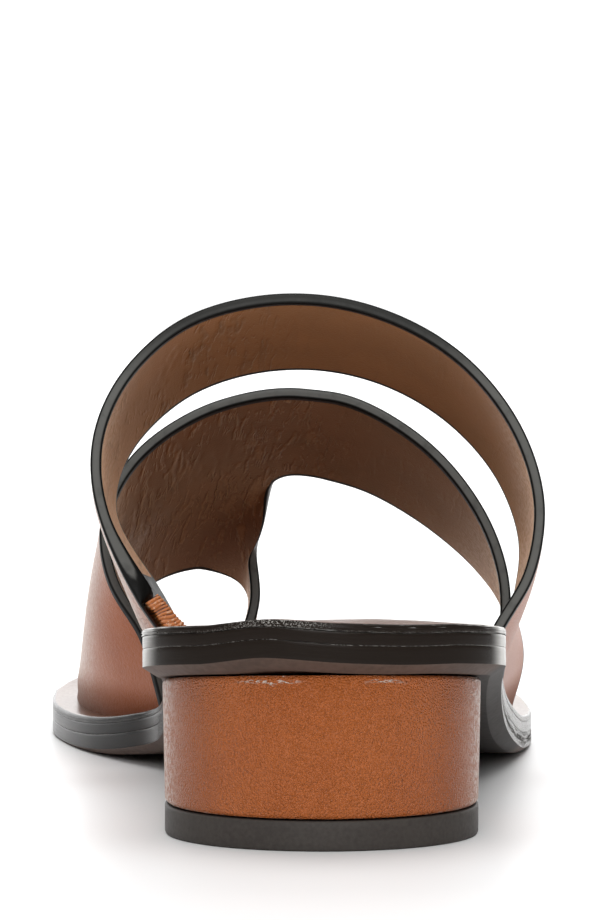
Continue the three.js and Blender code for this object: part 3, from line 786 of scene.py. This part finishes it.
def woven_diagonals(sheet: set[BMFace]) -> set[BMEdge]:
    """Return the diagonals of a sheet of triangles that were cut from a grid of quads, all the same way.

    Args:
        sheet: The triangles of one side of a strap.

    Returns:
        The edge inside each quad.
    """

    def apex(face: BMFace, edge: BMEdge) -> BMVert:
        """Return a triangle's corner across from one of its edges."""
        return next(v for v in face.verts if v not in edge.verts)

    def slant(edge: BMEdge) -> float:
        """Return how long an edge is beside the edges round its two triangles."""
        sides = [e.calc_length() for f in edge.link_faces for e in f.edges if e is not edge]
        return edge.calc_length() / max(sides)

    inner = {e for f in sheet for e in f.edges if all(g in sheet for g in e.link_faces)}
    first = max(inner, key=slant)
    found = {first}
    used = set(first.link_faces)
    waiting = [first]
    while waiting:
        diagonal = waiting.pop()
        for face in diagonal.link_faces:
            tip = apex(face, diagonal)
            for side in (e for e in face.edges if e is not diagonal and e in inner):
                beyond = next(f for f in side.link_faces if f is not face)
                if beyond in used:
                    continue
                far = apex(beyond, side)
                following = next(e for e in beyond.edges if tip in e.verts and far in e.verts)
                if following in inner and not used & set(following.link_faces):
                    found.add(following)
                    used.update(following.link_faces)
                    waiting.append(following)
    return found


@dataclass(frozen=True)
class Piece:
    """A finished piece, the name of its material slot, which is not used, and the CAD nodes it replaces; the
    first gives its form.
    """

    name: str
    slot: str
    replaces: tuple[str, ...]

    def triangles(self) -> BMesh:
        """Return a copy of the CAD node with its loose triangles merged."""
        bm = bmesh.new()
        bm.from_mesh(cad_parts[self.replaces[0]].data)
        bmesh.ops.remove_doubles(bm, verts=bm.verts[:], dist=0.002 * MM)
        for face in bm.faces:
            face.material_index = 0
        bm.normal_update()
        return bm

    def quads(self) -> BMesh:
        """Return a merged copy of the CAD node with its triangles joined into quads."""
        bm = self.triangles()
        join_pairs(bm, bm.faces[:])
        return bm

    def placed(self, mesh: bpy.types.Mesh, materials: Sequence[Material]) -> bpy.types.Object:
        """Put the piece in the scene.

        Args:
            mesh: Its finished mesh, in the frame's own place.
            materials: Its materials, in the order of its slots.

        Returns:
            The new object.
        """
        mesh.polygons.foreach_set("use_smooth", [True] * len(mesh.polygons))
        for material in materials:
            mesh.materials.append(material)
        piece = bpy.data.objects.new(self.name, mesh)
        bpy.context.scene.collection.objects.link(piece)
        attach(piece, "root")
        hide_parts(*self.replaces)
        LOG.info("%s: %d faces", self.name, len(mesh.polygons))
        return piece


@dataclass(frozen=True)
class HeightAlong:
    """The height of a curved sheet at each place along the shoe."""

    rows: tuple[Span, ...]

    @classmethod
    def of_top(cls, bm: BMesh) -> HeightAlong:
        """Return the height of a sole layer's top face, read from the corners of its broad faces."""
        broad = [f for f in bm.faces if f.normal.z > CAP_TILT and f.calc_area() > BROAD_AREA]
        return cls(tuple(sorted({(v.co.y, v.co.z) for f in broad for v in f.verts})))

    def at(self, along: float) -> float:
        """Return the height at a place, by straight lines between rows."""
        index = bisect_right(self.rows, (along, math.inf))
        if index in (0, len(self.rows)):
            return self.rows[max(index - 1, 0)][1]
        (y0, z0), (y1, z1) = self.rows[index - 1], self.rows[index]
        return z0 + (z1 - z0) * (along - y0) / (y1 - y0)


@dataclass
class SoleUnit:
    """Outsole, midsole and footbed, stacked on one outline."""

    wardrobe: Wardrobe
    levels: int = 2
    lip_height: float = 1.0 * MM
    lip_lap: float = 0.06 * MM
    seam_gap: float = 0.05 * MM
    cad_gap: float = 0.25 * MM
    corner_round: float = 0.28 * MM
    soft_edge: float = 0.1 * MM
    soft_angle: float = math.radians(28)
    tread_drop: float = 3.6 * MM
    tread_tilt: float = 0.35
    surface_tilt: float = 0.8
    lip_steps: tuple[Span, ...] = (
        (0.12 * MM, 0.07 * MM),
        (0.5 * MM, 0.0),
        (0.3 * MM, -0.08 * MM),
        (0.18 * MM, -0.22 * MM),
        (0.1 * MM, -0.45 * MM),
    )
    top_insets: tuple[float, ...] = (0.8 * MM, 3.0 * MM)
    pad_middle: Span = (6 * MM, -99 * MM)
    pad_reach: Span = (26 * MM, 33 * MM)
    pad_rise: float = 1.4 * MM
    pad_tilt: float = 0.5
    warp_from: float = -117.5 * MM
    warp_run: float = 5.5 * MM
    warps: tuple[tuple[float, float, float], ...] = (
        (-11.5 * MM, 10 * MM, 0.95 * MM),
        (18 * MM, 16 * MM, -0.35 * MM),
    )
    top: HeightAlong = field(init=False)

    def build(self) -> None:
        """Make the three layers."""
        midsole = Piece("midsole_layer", "sole_leather", ("midsole",))
        cage = midsole.quads()
        self.top = HeightAlong.of_top(cage)
        self._layer(midsole, cage, ((1.0, 0.0), (-1.0, self.cad_gap - self.seam_gap)))
        outsole = Piece("outsole_layer", "sole_leather", ("outsole",))
        self._layer(outsole, outsole.quads(), ((1.0, 0.0),))
        self._footbed(midsole.quads())

    def _close_seam(self, bm: BMesh, up: float, drop: float) -> None:
        """Square up one face of a layer, so that its seam is a fine line.

        Args:
            bm: The layer.
            up: 1 for its top face, -1 for its bottom face.
            drop: How far the face moves towards its neighbour.
        """
        cap = set(caps(bm, up))
        corners: dict[BMVert, list[BMEdge]] = {}
        for edge in bm.edges:
            if sum(f in cap for f in edge.link_faces) == 1:
                for vert in edge.verts:
                    corners.setdefault(vert, []).append(edge)
        outward = {vert: out_of_plan(vert, edges) for vert, edges in corners.items()}
        for vert, direction in outward.items():
            vert.co += direction * self.corner_round
        for vert in {v for f in cap for v in f.verts}:
            vert.co.z += up * drop

    def _layer(self, piece: Piece, bm: BMesh, seams: Sequence[Span]) -> None:
        """Finish one plain layer of the sole.

        Args:
            piece: What it is.
            bm: Its merged copy.
            seams: For each face that meets a neighbour, its direction and how far it moves.
        """
        for up, drop in seams:
            self._close_seam(bm, up, drop)
        crease_rings(bm, 1.0)
        bm = subdivided(bm, self.levels)
        for vert in bm.verts:
            vert.co.z = max(vert.co.z, 0.0)
        for face in bm.faces:
            low = self._level(face.calc_center_median()) < -self.tread_drop
            face.material_index = int(face.normal.z < -self.tread_tilt and low)
        made = self._finished(piece, bm, self.wardrobe.tread)
        bevel = made.modifiers.new("soft_edge", "BEVEL")
        bevel.width = self.soft_edge
        bevel.segments = 2
        bevel.limit_method = "ANGLE"
        bevel.angle_limit = self.soft_angle
        bevel.use_clamp_overlap = True

    def _finished(self, piece: Piece, bm: BMesh, second: Material) -> bpy.types.Object:
        """Warp a layer, mark its levels and put it in the scene.

        Args:
            piece: What it is.
            bm: Its finished mesh.
            second: Its material beside the black edge.

        Returns:
            Its object.
        """
        mesh = as_mesh(bm, piece.name)
        layer = mesh.attributes.new(Mark.LEVEL.value, "FLOAT", "POINT")
        layer.data.foreach_set("value", [self._level(vert.co) for vert in mesh.vertices])
        for vert in mesh.vertices:
            vert.co.z += self._warp(vert.co)
        return piece.placed(mesh, (self.wardrobe.sole_edge, second))

    def _level(self, place: Vector) -> float:
        """Return a point's height above the midsole's top face."""
        return place.z - self.top.at(place.y)

    def _footbed(self, bm: BMesh) -> None:
        """Make the footbed from the midsole's top face: a black rolled lip round a leather surface.

        Args:
            bm: A merged copy of the midsole.
        """
        cap = set(caps(bm, 1.0))
        bmesh.ops.delete(bm, geom=[f for f in bm.faces if f not in cap], context="FACES")
        bmesh.ops.translate(bm, vec=(0.0, 0.0, self.seam_gap), verts=bm.verts[:])
        outward = bm.verts.layers.float_vector.new("outward")
        for vert in [v for v in bm.verts if any(e.is_boundary for e in v.link_edges)]:
            vert[outward] = out_of_plan(vert, [e for e in vert.link_edges if e.is_boundary])
            vert.co += vert[outward] * self.corner_round
        base = bm.faces[:]
        top = base
        for rise, grow in self.lip_steps:
            step = bmesh.ops.extrude_face_region(bm, geom=top)
            if top is base:
                bmesh.ops.reverse_faces(bm, faces=base)
            else:
                bmesh.ops.delete(bm, geom=top, context="FACES_ONLY")
            top = [g for g in step["geom"] if isinstance(g, BMFace)]
            for vert in (g for g in step["geom"] if isinstance(g, BMVert)):
                vert.co += Vector((0.0, 0.0, rise)) + Vector(vert[outward]) * grow
        for thickness in self.top_insets:
            inset(bm, top, thickness)
        bm.verts.layers.float_vector.remove(outward)
        bm.normal_update()
        bm = subdivided(bm, self.levels)
        for face in bm.faces:
            high = self._level(face.calc_center_median()) > self.cad_gap + self.lip_height - self.lip_lap
            face.material_index = int(face.normal.z > self.surface_tilt and high)
        for vert in bm.verts:
            if vert.normal.z > self.pad_tilt:
                vert.co.z += self._pad(vert.co)
        self._finished(Piece("footbed_layer", "footbed_leather", ("footbed",)), bm, self.wardrobe.insole)

    def _warp(self, place: Vector) -> float:
        """Return how far the rim of the heel seat is warped by wear: up at the inner side, down at the outer.
        """
        rear = clamped((self.warp_from - place.y) / self.warp_run)
        waves = (rise * math.exp(-(((place.x - at) / reach) ** 2)) for at, reach, rise in self.warps)
        return rear * sum(waves)

    def _pad(self, place: Vector) -> float:
        """Return how far the soft heel pad under the surface lifts it at a place."""
        across = (place.x - self.pad_middle[0]) / self.pad_reach[0]
        along = (place.y - self.pad_middle[1]) / self.pad_reach[1]
        return self.pad_rise * max(0.0, 1.0 - across**2 - along**2) ** 2


@dataclass
class HeelUnit:
    """The leather-covered heel block and its top piece."""

    wardrobe: Wardrobe
    levels: int = 2
    cover_crease: float = 0.45
    tread_crease: float = 0.9
    cap_inset: float = 0.6 * MM
    side_height: float = 10 * MM
    side_cuts: int = 7
    side_tilt: float = 0.8
    pucker_reach: float = 2.6 * MM
    pucker_depth: float = 0.16 * MM
    pucker_scale: float = 420.0

    def build(self) -> None:
        """Make both pieces."""
        cover = Piece("heel_cover", "upper_leather", ("heel_block",))
        tread = Piece("heel_tread", "top_piece_rubber", ("heel_top_piece",))
        self._make(cover, self.wardrobe.heel_leather, self.cover_crease, True)
        self._make(tread, self.wardrobe.top_piece, self.tread_crease, False)

    def _make(self, piece: Piece, material: Material, crease: float, covered: bool) -> None:
        """Make one of the pieces.

        Args:
            piece: What it is.
            material: Its material.
            crease: How sharp its edges stay when it is subdivided, 0 to 1.
            covered: Whether leather is pulled over it, which puckers at the top.
        """
        bm = piece.quads()
        crease_rings(bm, crease)
        for up in (1.0, -1.0):
            inset(bm, caps(bm, up), self.cap_inset)
        if covered:
            upright = [e for e in bm.edges if abs(e.verts[0].co.z - e.verts[1].co.z) > self.side_height]
            bmesh.ops.subdivide_edges(bm, edges=upright, cuts=self.side_cuts, use_grid_fill=True)
        bm = subdivided(bm, self.levels)
        if covered:
            self._pucker(bm)
        for vert in bm.verts:
            vert.co.z = max(vert.co.z, 0.0)
        piece.placed(as_mesh(bm, piece.name), (material,))

    def _pucker(self, bm: BMesh) -> None:
        """Pull fine puckers into the leather just under the cover's top edge."""
        tops: dict[Span, float] = {}
        for vert in bm.verts:
            key = (round(vert.co.x, 3), round(vert.co.y, 3))
            tops[key] = max(tops.get(key, -1.0), vert.co.z)
        tuck = bm.verts.layers.float.new(Mark.TUCK.value)
        for vert in bm.verts:
            below = tops[(round(vert.co.x, 3), round(vert.co.y, 3))] - vert.co.z
            if abs(vert.normal.z) < self.side_tilt and below < self.pucker_reach:
                share = 1.0 - below / self.pucker_reach
                vert[tuck] = share
                place = Vector((vert.co.x * self.pucker_scale, vert.co.y * self.pucker_scale, 3.0))
                vert.co += vert.normal * (self.pucker_depth * share * noise.noise(place))


@dataclass(frozen=True)
class Crease:
    """A crease in a strap's lining, in millimetres of the shoe.

    Fields:
        across: Its place across the shoe at its rear end.
        rear: Where it begins along the shoe.
        front: Where it ends along the shoe.
        lean: How far it drifts across over its length.
        width: Half its width.
        depth: How deep it is.
    """

    across: float
    rear: float
    front: float
    lean: float
    width: float
    depth: float

    def lift(self, place: Vector) -> float:
        """Return how far the lining stands off its face at a place, in metres."""
        along = (place.y / MM - self.rear) / (self.front - self.rear)
        wander = 0.35 * math.sin(along * 9.0 + self.across)
        offset = (place.x / MM - self.across - self.lean * along - wander) / self.width
        if not -0.15 < along < 1.15 or abs(offset) > 3:
            return 0.0
        ends = clamped((along + 0.15) / 0.35) * clamped((1.15 - along) / 0.35)
        fold = math.exp(-offset * offset) * (0.6 + 1.3 * offset)
        return -self.depth * MM * fold * ends * ends * (3 - 2 * ends)


@dataclass
class Strap:
    """A strap with an outer face, a lining, and a painted bead round its cut edges."""

    wardrobe: Wardrobe
    piece: Piece
    lining: Material
    creases: tuple[Crease, ...]
    wrinkle_rise: float
    wrinkle_side: Span = (2 * MM, 14 * MM)
    wrinkle_scale: Place = (520.0, 80.0, 200.0)
    thickness: float = 1.95 * MM
    close: float = 0.001 * MM
    ease_steps: int = 0
    border_steps: int = 0
    eased_above: float = 12 * MM
    loop_side: Span = (-27 * MM, 4 * MM)
    loop_top: float = 56 * MM
    tip_top: float = 0.0
    tip_side: float = -22 * MM
    edge_reach: float = 3.4 * MM
    paint_width: float = 0.3 * MM
    bead_rise: float = 0.2 * MM
    levels: int = 2

    def build(self) -> None:
        """Make the strap."""
        bm = self.piece.triangles()
        outer, lining = self._sides(bm)
        for face in bm.faces:
            face.material_index = self._skin(face, outer, lining)
        self._join(bm, outer, lining)
        self._ease(bm)
        self._round_borders(bm)
        self._bead(bm)
        self._paint(bm)
        bm = subdivided(bm, self.levels)
        self._crease(bm)
        skins = (self.wardrobe.outer, self.lining, self.wardrobe.edge, self.wardrobe.cover_edge)
        self.piece.placed(as_mesh(bm, self.piece.name), skins)

    def _crown(self, faces: Iterable[BMFace], up: float) -> BMFace:
        """Return the highest face that looks up, with up as 1, or down, with up as -1."""
        facing = (f for f in faces if f.normal.z * up > CROWN_TILT)
        return max(facing, key=lambda f: f.calc_center_median().z)

    def _sides(self, bm: BMesh) -> tuple[set[BMFace], set[BMFace]]:
        """Tell the two sides of the strap from its cut edge, whose triangles each span its thickness.

        Args:
            bm: The strap as triangles.

        Returns:
            The triangles of its outer face and those of its lining.
        """
        cut = {
            f
            for f in bm.faces
            if any(abs(e.calc_length() - self.thickness) < self.close for e in f.edges)
        }
        walls = set(bm.faces) - cut
        outer = flood(self._crown(walls, 1.0), walls)
        sides = (outer, walls - outer)
        for side in sides:
            corners = {v for f in side for v in f.verts}
            side.update(f for f in cut if all(v in corners for v in f.verts))
        return sides

    def _skin(self, face: BMFace, outer: set[BMFace], lining: set[BMFace]) -> int:
        """Return the material slot of a face.

        Args:
            face: The face.
            outer: The faces of the outer side.
            lining: The faces of the lining.

        Returns:
            The slot.
        """
        if face in outer:
            return StrapSkin.OUTER
        return StrapSkin.LINING if face in lining else StrapSkin.EDGE

    def _join(self, bm: BMesh, outer: set[BMFace], lining: set[BMFace]) -> None:
        """Join the triangles of both sides and of the edges into quads.

        Args:
            bm: The strap.
            outer: The triangles of its outer face.
            lining: The triangles of its lining, in one part or more.
        """
        diagonals = woven_diagonals(outer)
        rest = set(lining)
        while rest:
            part = flood(next(iter(rest)), rest)
            diagonals |= woven_diagonals(part)
            rest -= part
        bmesh.ops.dissolve_edges(bm, edges=list(diagonals), use_verts=False, use_face_split=False)
        join_pairs(bm, [f for f in bm.faces if len(f.verts) == 3])

    def _ease(self, bm: BMesh) -> None:
        """Ease the folds out of both sides, longest in the loop, and leave their borders where they are."""
        sides = (StrapSkin.OUTER, StrapSkin.LINING)
        inside = [
            v
            for v in bm.verts
            if all(f.material_index in sides for f in v.link_faces) and v.co.z > self.eased_above
        ]
        for step in range(self.ease_steps):
            if step == self.ease_steps // 6:
                inside = [v for v in inside if self._in_loop(v.co)]
            bmesh.ops.smooth_vert(
                bm, verts=inside, factor=0.5, use_axis_x=True, use_axis_y=True, use_axis_z=True
            )
        bm.normal_update()

    def _round_borders(self, bm: BMesh) -> None:
        """Round the kinks of the border round the loop, with each point drawn to its neighbours' middle."""
        rings: dict[BMVert, list[BMVert]] = {}
        for edge in bm.edges:
            if len({f.material_index == StrapSkin.EDGE for f in edge.link_faces}) == 2:
                for vert in edge.verts:
                    rings.setdefault(vert, []).append(edge.other_vert(vert))
        kinked = {
            v: ends
            for v, ends in rings.items()
            if len(ends) == 2 and self._in_loop(v.co) and v.co.z > self.eased_above
        }
        for _ in range(self.border_steps):
            middles = {v: (ends[0].co + ends[1].co) / 2 for v, ends in kinked.items()}
            for vert, middle in middles.items():
                vert.co = vert.co.lerp(middle, 0.5)

    def _in_loop(self, place: Vector) -> bool:
        """Return whether a place is in the low inner part of the strap, where a loop leaves its band."""
        return self.loop_side[0] < place.x < self.loop_side[1] and place.z < self.loop_top

    def _bead(self, bm: BMesh) -> None:
        """Raise a rounded bead along the middle of the cut edge."""
        sides = {f for f in bm.faces if f.material_index in (StrapSkin.OUTER, StrapSkin.LINING)}
        bead = bm.verts.layers.float.new(Mark.BEAD.value)
        across = [
            e
            for e in bm.edges
            if all(f not in sides for f in e.link_faces)
            and all(any(f in sides for f in v.link_faces) for v in e.verts)
            and e.calc_length() < self.edge_reach
        ]
        cut = bmesh.ops.subdivide_edges(bm, edges=across, cuts=1, use_grid_fill=False)
        bm.normal_update()
        for vert in [g for g in cut["geom_inner"] if isinstance(g, BMVert)]:
            vert.co += vert.normal * self.bead_rise
            vert[bead] = 1.0

    def _paint(self, bm: BMesh) -> None:
        """Let the edge's paint lap a little way onto both sides, and run round the lining's inner end."""
        for skin in (StrapSkin.OUTER, StrapSkin.LINING):
            side = [f for f in bm.faces if f.material_index == skin]
            for face in inset(bm, side, self.paint_width):
                face.material_index = StrapSkin.EDGE
        for face in bm.faces:
            middle = face.calc_center_median()
            at_tip = middle.x < self.tip_side and middle.z < self.tip_top
            if face.material_index == StrapSkin.LINING and at_tip:
                face.material_index = StrapSkin.EDGE

    def _crease(self, bm: BMesh) -> None:
        """Cut the lining finer, and press the creases and the wrinkles into it."""
        faces = [f for f in bm.faces if f.material_index == StrapSkin.LINING]
        edges = {e for f in faces for e in f.edges}
        bmesh.ops.subdivide_edges(bm, edges=list(edges), cuts=1, use_grid_fill=True)
        bm.normal_update()
        moves: list[tuple[BMVert, Vector]] = []
        for vert in bm.verts:
            if vert.link_faces and all(f.material_index == StrapSkin.LINING for f in vert.link_faces):
                lift = sum(crease.lift(vert.co) for crease in self.creases) + self._wrinkle(vert.co)
                moves.append((vert, vert.normal * lift))
        for vert, move in moves:
            vert.co += move
        bm.normal_update()

    def _wrinkle(self, place: Vector) -> float:
        """Return the lift of the fine wrinkles at a place, which fade toward the outer side of the foot."""
        share = clamped((self.wrinkle_side[0] - place.x) / self.wrinkle_side[1])
        return self.wrinkle_rise * share * noise_at(place, self.wrinkle_scale)


@dataclass
class InstepStrap(Strap):
    """The instep strap, whose thin cover over the gore has a cut edge of its own colour."""

    cover_top: float = 32.6 * MM
    side_bend: float = math.radians(60)

    def _sides(self, bm: BMesh) -> tuple[set[BMFace], set[BMFace]]:
        """Tell the two sides of the strap from its cut edge, which stands square to them.

        Args:
            bm: The strap as triangles.

        Returns:
            The triangles of its outer face and those of its lining.
        """
        faces = set(bm.faces)
        outer = flood(self._crown(faces, 1.0), faces, self.side_bend)
        return outer, flood(self._crown(faces, -1.0), faces, self.side_bend)

    def _skin(self, face: BMFace, outer: set[BMFace], lining: set[BMFace]) -> int:
        """Return the material slot of a face.

        Args:
            face: The face.
            outer: The faces of the outer side.
            lining: The faces of the lining.

        Returns:
            The slot.
        """
        skin = super()._skin(face, outer, lining)
        middle = face.calc_center_median()
        if skin == StrapSkin.EDGE and middle.x < 0 and middle.z < self.cover_top and abs(face.normal.y) > 0.5:
            return StrapSkin.COVER_EDGE
        return skin


@dataclass
class Gore:
    """Elastic gathered inside the inner foot of the instep strap."""

    wardrobe: Wardrobe
    levels: int = 3
    corner_angle: float = math.radians(50)
    corner_crease: float = 0.55
    upright_cuts: int = 3
    fold_length: float = 0.62 * MM
    fold_lean: float = 700.0
    drift_scale: Place = (500.0, 300.0, 420.0)
    uneven_scale: Place = (260.0, 120.0, 700.0)
    upright_share: float = 0.9
    fold_rise: float = 0.34 * MM
    swell: float = 1.2 * MM

    def build(self) -> None:
        """Make the gore: a swollen sheet with uneven folds, each running along the shoe."""
        piece = Piece("gore_gathers", "gore_elastic", ("elastic_gore",))
        bm = piece.quads()
        low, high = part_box("elastic_gore")
        slope = Vector((low[0] - high[0], 0.0, high[2] - low[2])).normalized()
        inward = Vector((slope.z, 0.0, -slope.x))
        heights = [v.co.dot(slope) for v in bm.verts]
        depths = [v.co.dot(inward) for v in bm.verts]
        crease_rings(bm, self.corner_crease, self.corner_angle)
        runs = {e: (e.verts[1].co - e.verts[0].co).normalized() for e in bm.edges}
        upright = [e for e, run in runs.items() if abs(run.dot(slope)) > self.upright_share]
        bmesh.ops.subdivide_edges(bm, edges=upright, cuts=self.upright_cuts, use_grid_fill=True)
        bm = subdivided(bm, self.levels)
        fold = bm.verts.layers.float.new(Mark.FOLD.value)
        moves: list[tuple[BMVert, Vector]] = []
        for vert in bm.verts:
            height = vert.co.dot(slope)
            depth = vert.co.dot(inward) - min(depths)
            vert[fold] = self._fold(vert.co, height, depth)
            share = clamped((height - min(heights)) / (max(heights) - min(heights)))
            inner = depth / (max(depths) - min(depths))
            puff = inward * (self.swell * inner * math.sin(math.pi * share) ** 0.5)
            moves.append((vert, vert.normal * (self.fold_rise * (vert[fold] - 0.6)) + puff))
        for vert, move in moves:
            vert.co += move
        piece.placed(as_mesh(bm, piece.name), (self.wardrobe.gathers,))

    def _fold(self, place: Vector, height: float, depth: float) -> float:
        """Return how high the folds stand at a place.

        Args:
            place: The place.
            height: How far up the sheet it is.
            depth: How deep in the sheet it is.

        Returns:
            The height of the folds, about 0 in a trough and 1 on a crest.
        """
        drift = noise_at((place.x, place.y, height), self.drift_scale)
        uneven = noise_at((place.x, place.y, height), self.uneven_scale)
        wave = math.sin(math.pi * height / self.fold_length + drift * 2.2 + depth * self.fold_lean)
        return abs(wave) ** 0.7 * (0.8 + uneven * 0.7)


@dataclass(frozen=True)
class Softbox:
    """A soft area light."""

    name: str
    place: tuple[float, float, float]
    target: tuple[float, float, float]
    size: Span
    power: float

    def hang(self) -> None:
        """Put the light in the scene."""
        data = bpy.data.lights.new(self.name, "AREA")
        data.shape = "RECTANGLE"
        data.size, data.size_y = self.size
        data.energy = self.power
        lamp = bpy.data.objects.new(self.name, data)
        lamp.location = self.place
        aim = Vector(self.target) - Vector(self.place)
        lamp.rotation_euler = aim.to_track_quat("-Z", "Y").to_euler()
        bpy.context.scene.collection.objects.link(lamp)


@dataclass
class Studio:
    """A whitish floor in a white room, softboxes, and the camera behind the heel."""

    camera_place: tuple[float, float, float] = (-39.2 * MM, -1124.3 * MM, 128.0 * MM)
    camera_pitch: float = math.radians(3.707)
    camera_turn: float = math.radians(2.0)
    lens: float = 246.13
    sensor: float = 36.0
    clip: Span = (0.05, 50.0)
    floor_reach: float = 1.15
    floor_back: float = 0.55
    floor_colour: Colour = (0.82, 0.82, 0.82)
    floor_rough: float = 0.4
    floor_gloss: float = 0.25
    room_light: float = 0.18
    room_seen: float = 1.15
    boxes: tuple[Softbox, ...] = (
        Softbox("back_box", (0.0, 1.7, 0.6), (0.0, 0.0, 0.2), (3.4, 1.8), 44.0),
        Softbox("rear_box", (-0.1, -2.3, 1.0), (0.0, 0.0, 0.03), (1.1, 0.9), 24.0),
        Softbox("top_box", (0.0, 0.1, 1.9), (0.0, 0.0, 0.0), (2.6, 2.6), 50.0),
    )

    def build(self) -> None:
        """Make the camera, the floor and the lights."""
        self._camera()
        self._floor()
        self._room()
        for box in self.boxes:
            box.hang()

    def _camera(self) -> None:
        """Put the camera at the photograph's angle."""
        data = bpy.data.cameras.new("rear_camera")
        data.lens = self.lens
        data.sensor_width = self.sensor
        data.sensor_fit = "AUTO"
        data.clip_start, data.clip_end = self.clip
        camera = bpy.data.objects.new("rear_camera", data)
        camera.location = self.camera_place
        camera.rotation_euler = Euler((math.pi / 2 - self.camera_pitch, 0.0, -self.camera_turn), "XYZ")
        bpy.context.scene.collection.objects.link(camera)
        bpy.context.scene.camera = camera

    def _floor(self) -> None:
        """Lay the whitish floor."""
        bm = bmesh.new()
        back = Matrix.Translation((0.0, self.floor_back, 0.0))
        bmesh.ops.create_grid(bm, x_segments=2, y_segments=2, size=self.floor_reach, matrix=back)
        floor = bpy.data.objects.new("studio_floor", as_mesh(bm, "studio_floor"))
        m = Dressing("studio_floor")
        gloss = {"Specular IOR Level": self.floor_gloss}
        floor.data.materials.append(m.finish(self.floor_colour, self.floor_rough, None, **gloss))
        bpy.context.scene.collection.objects.link(floor)

    def _room(self) -> None:
        """Light the room evenly, and let the camera see it plain white."""
        world = bpy.data.worlds.new("white_room")
        world.use_nodes = True
        tree = world.node_tree
        sky = tree.nodes["Background"]
        sky.inputs["Color"].default_value = (1.0, 1.0, 1.0, 1.0)
        seen = tree.nodes.new("ShaderNodeLightPath")
        strength = tree.nodes.new("ShaderNodeMath")
        strength.operation = "MULTIPLY_ADD"
        strength.inputs[1].default_value = self.room_seen - self.room_light
        strength.inputs[2].default_value = self.room_light
        tree.links.new(seen.outputs["Is Camera Ray"], strength.inputs[0])
        tree.links.new(strength.outputs[0], sky.inputs["Strength"])
        bpy.context.scene.world = world
        bpy.context.scene.view_settings.view_transform = "Standard"


TOE_CREASES = (
    Crease(-27.2, 11, 22, 0.4, 0.4, 0.10),
    Crease(-24.4, 8, 29, 1.1, 0.42, 0.14),
    Crease(-22.5, 20, 31, 0.9, 0.38, 0.12),
    Crease(-21.7, 8, 24, 0.5, 0.4, 0.13),
    Crease(-19.9, 22, 36, 1.2, 0.42, 0.16),
    Crease(-19.4, 17, 24, 0.1, 0.36, 0.11),
    Crease(-17.5, 23, 34, 0.2, 0.38, 0.13),
    Crease(-16.5, 15, 22, 0.2, 0.36, 0.10),
    Crease(-14.7, 27, 39, 0.5, 0.38, 0.11),
    Crease(-13.2, 12, 21, 0.4, 0.38, 0.10),
    Crease(-12.3, 25, 39, 0.7, 0.38, 0.10),
    Crease(-11.8, 9, 18, 1.4, 0.4, 0.11),
    Crease(-9.1, 30, 38, 0.4, 0.38, 0.10),
    Crease(-7.9, 24, 30, 0.4, 0.38, 0.08),
    Crease(-5.2, 36, 47, 1.2, 0.42, 0.14),
    Crease(-26.1, 24, 39, 1.1, 0.42, 0.16),
    Crease(-29.6, 25, 42, 2.1, 0.42, 0.14),
    Crease(-27.8, 36, 50, 1.5, 0.42, 0.13),
    Crease(-21.9, 35, 49, 0.6, 0.38, 0.08),
    Crease(-24.6, 43, 54, 0.7, 0.38, 0.08),
)

INSTEP_CREASES = (
    Crease(-22.5, -28, -21, 0.2, 0.4, 0.12),
    Crease(-21.0, -23, -16, 0.3, 0.38, 0.14),
    Crease(-23.7, -27, -18, 0.3, 0.38, 0.14),
    Crease(-16.5, -20, -13, 0.1, 0.38, 0.1),
    Crease(-14.4, -20, -14, 0.1, 0.38, 0.1),
    Crease(-25.4, -23, -14, 0.7, 0.38, 0.12),
    Crease(-19.2, -20, -12, 0.3, 0.38, 0.12),
)


def main() -> None:
    """Build the sandal and the studio."""
    wardrobe = Wardrobe.made()
    SoleUnit(wardrobe).build()
    HeelUnit(wardrobe).build()
    instep = Piece("instep_strap_leather", "upper_leather", ("instep_strap",))
    InstepStrap(
        wardrobe, instep, wardrobe.instep_lining, INSTEP_CREASES, 0.05 * MM, tip_top=35.2 * MM
    ).build()
    toe = Piece("toe_strap_leather", "upper_leather", ("toe_strap",))
    Strap(wardrobe, toe, wardrobe.toe_lining, TOE_CREASES, 0.08 * MM, ease_steps=36, border_steps=4).build()
    Gore(wardrobe).build()
    Studio().build()


if __name__ == "__main__":
    main()
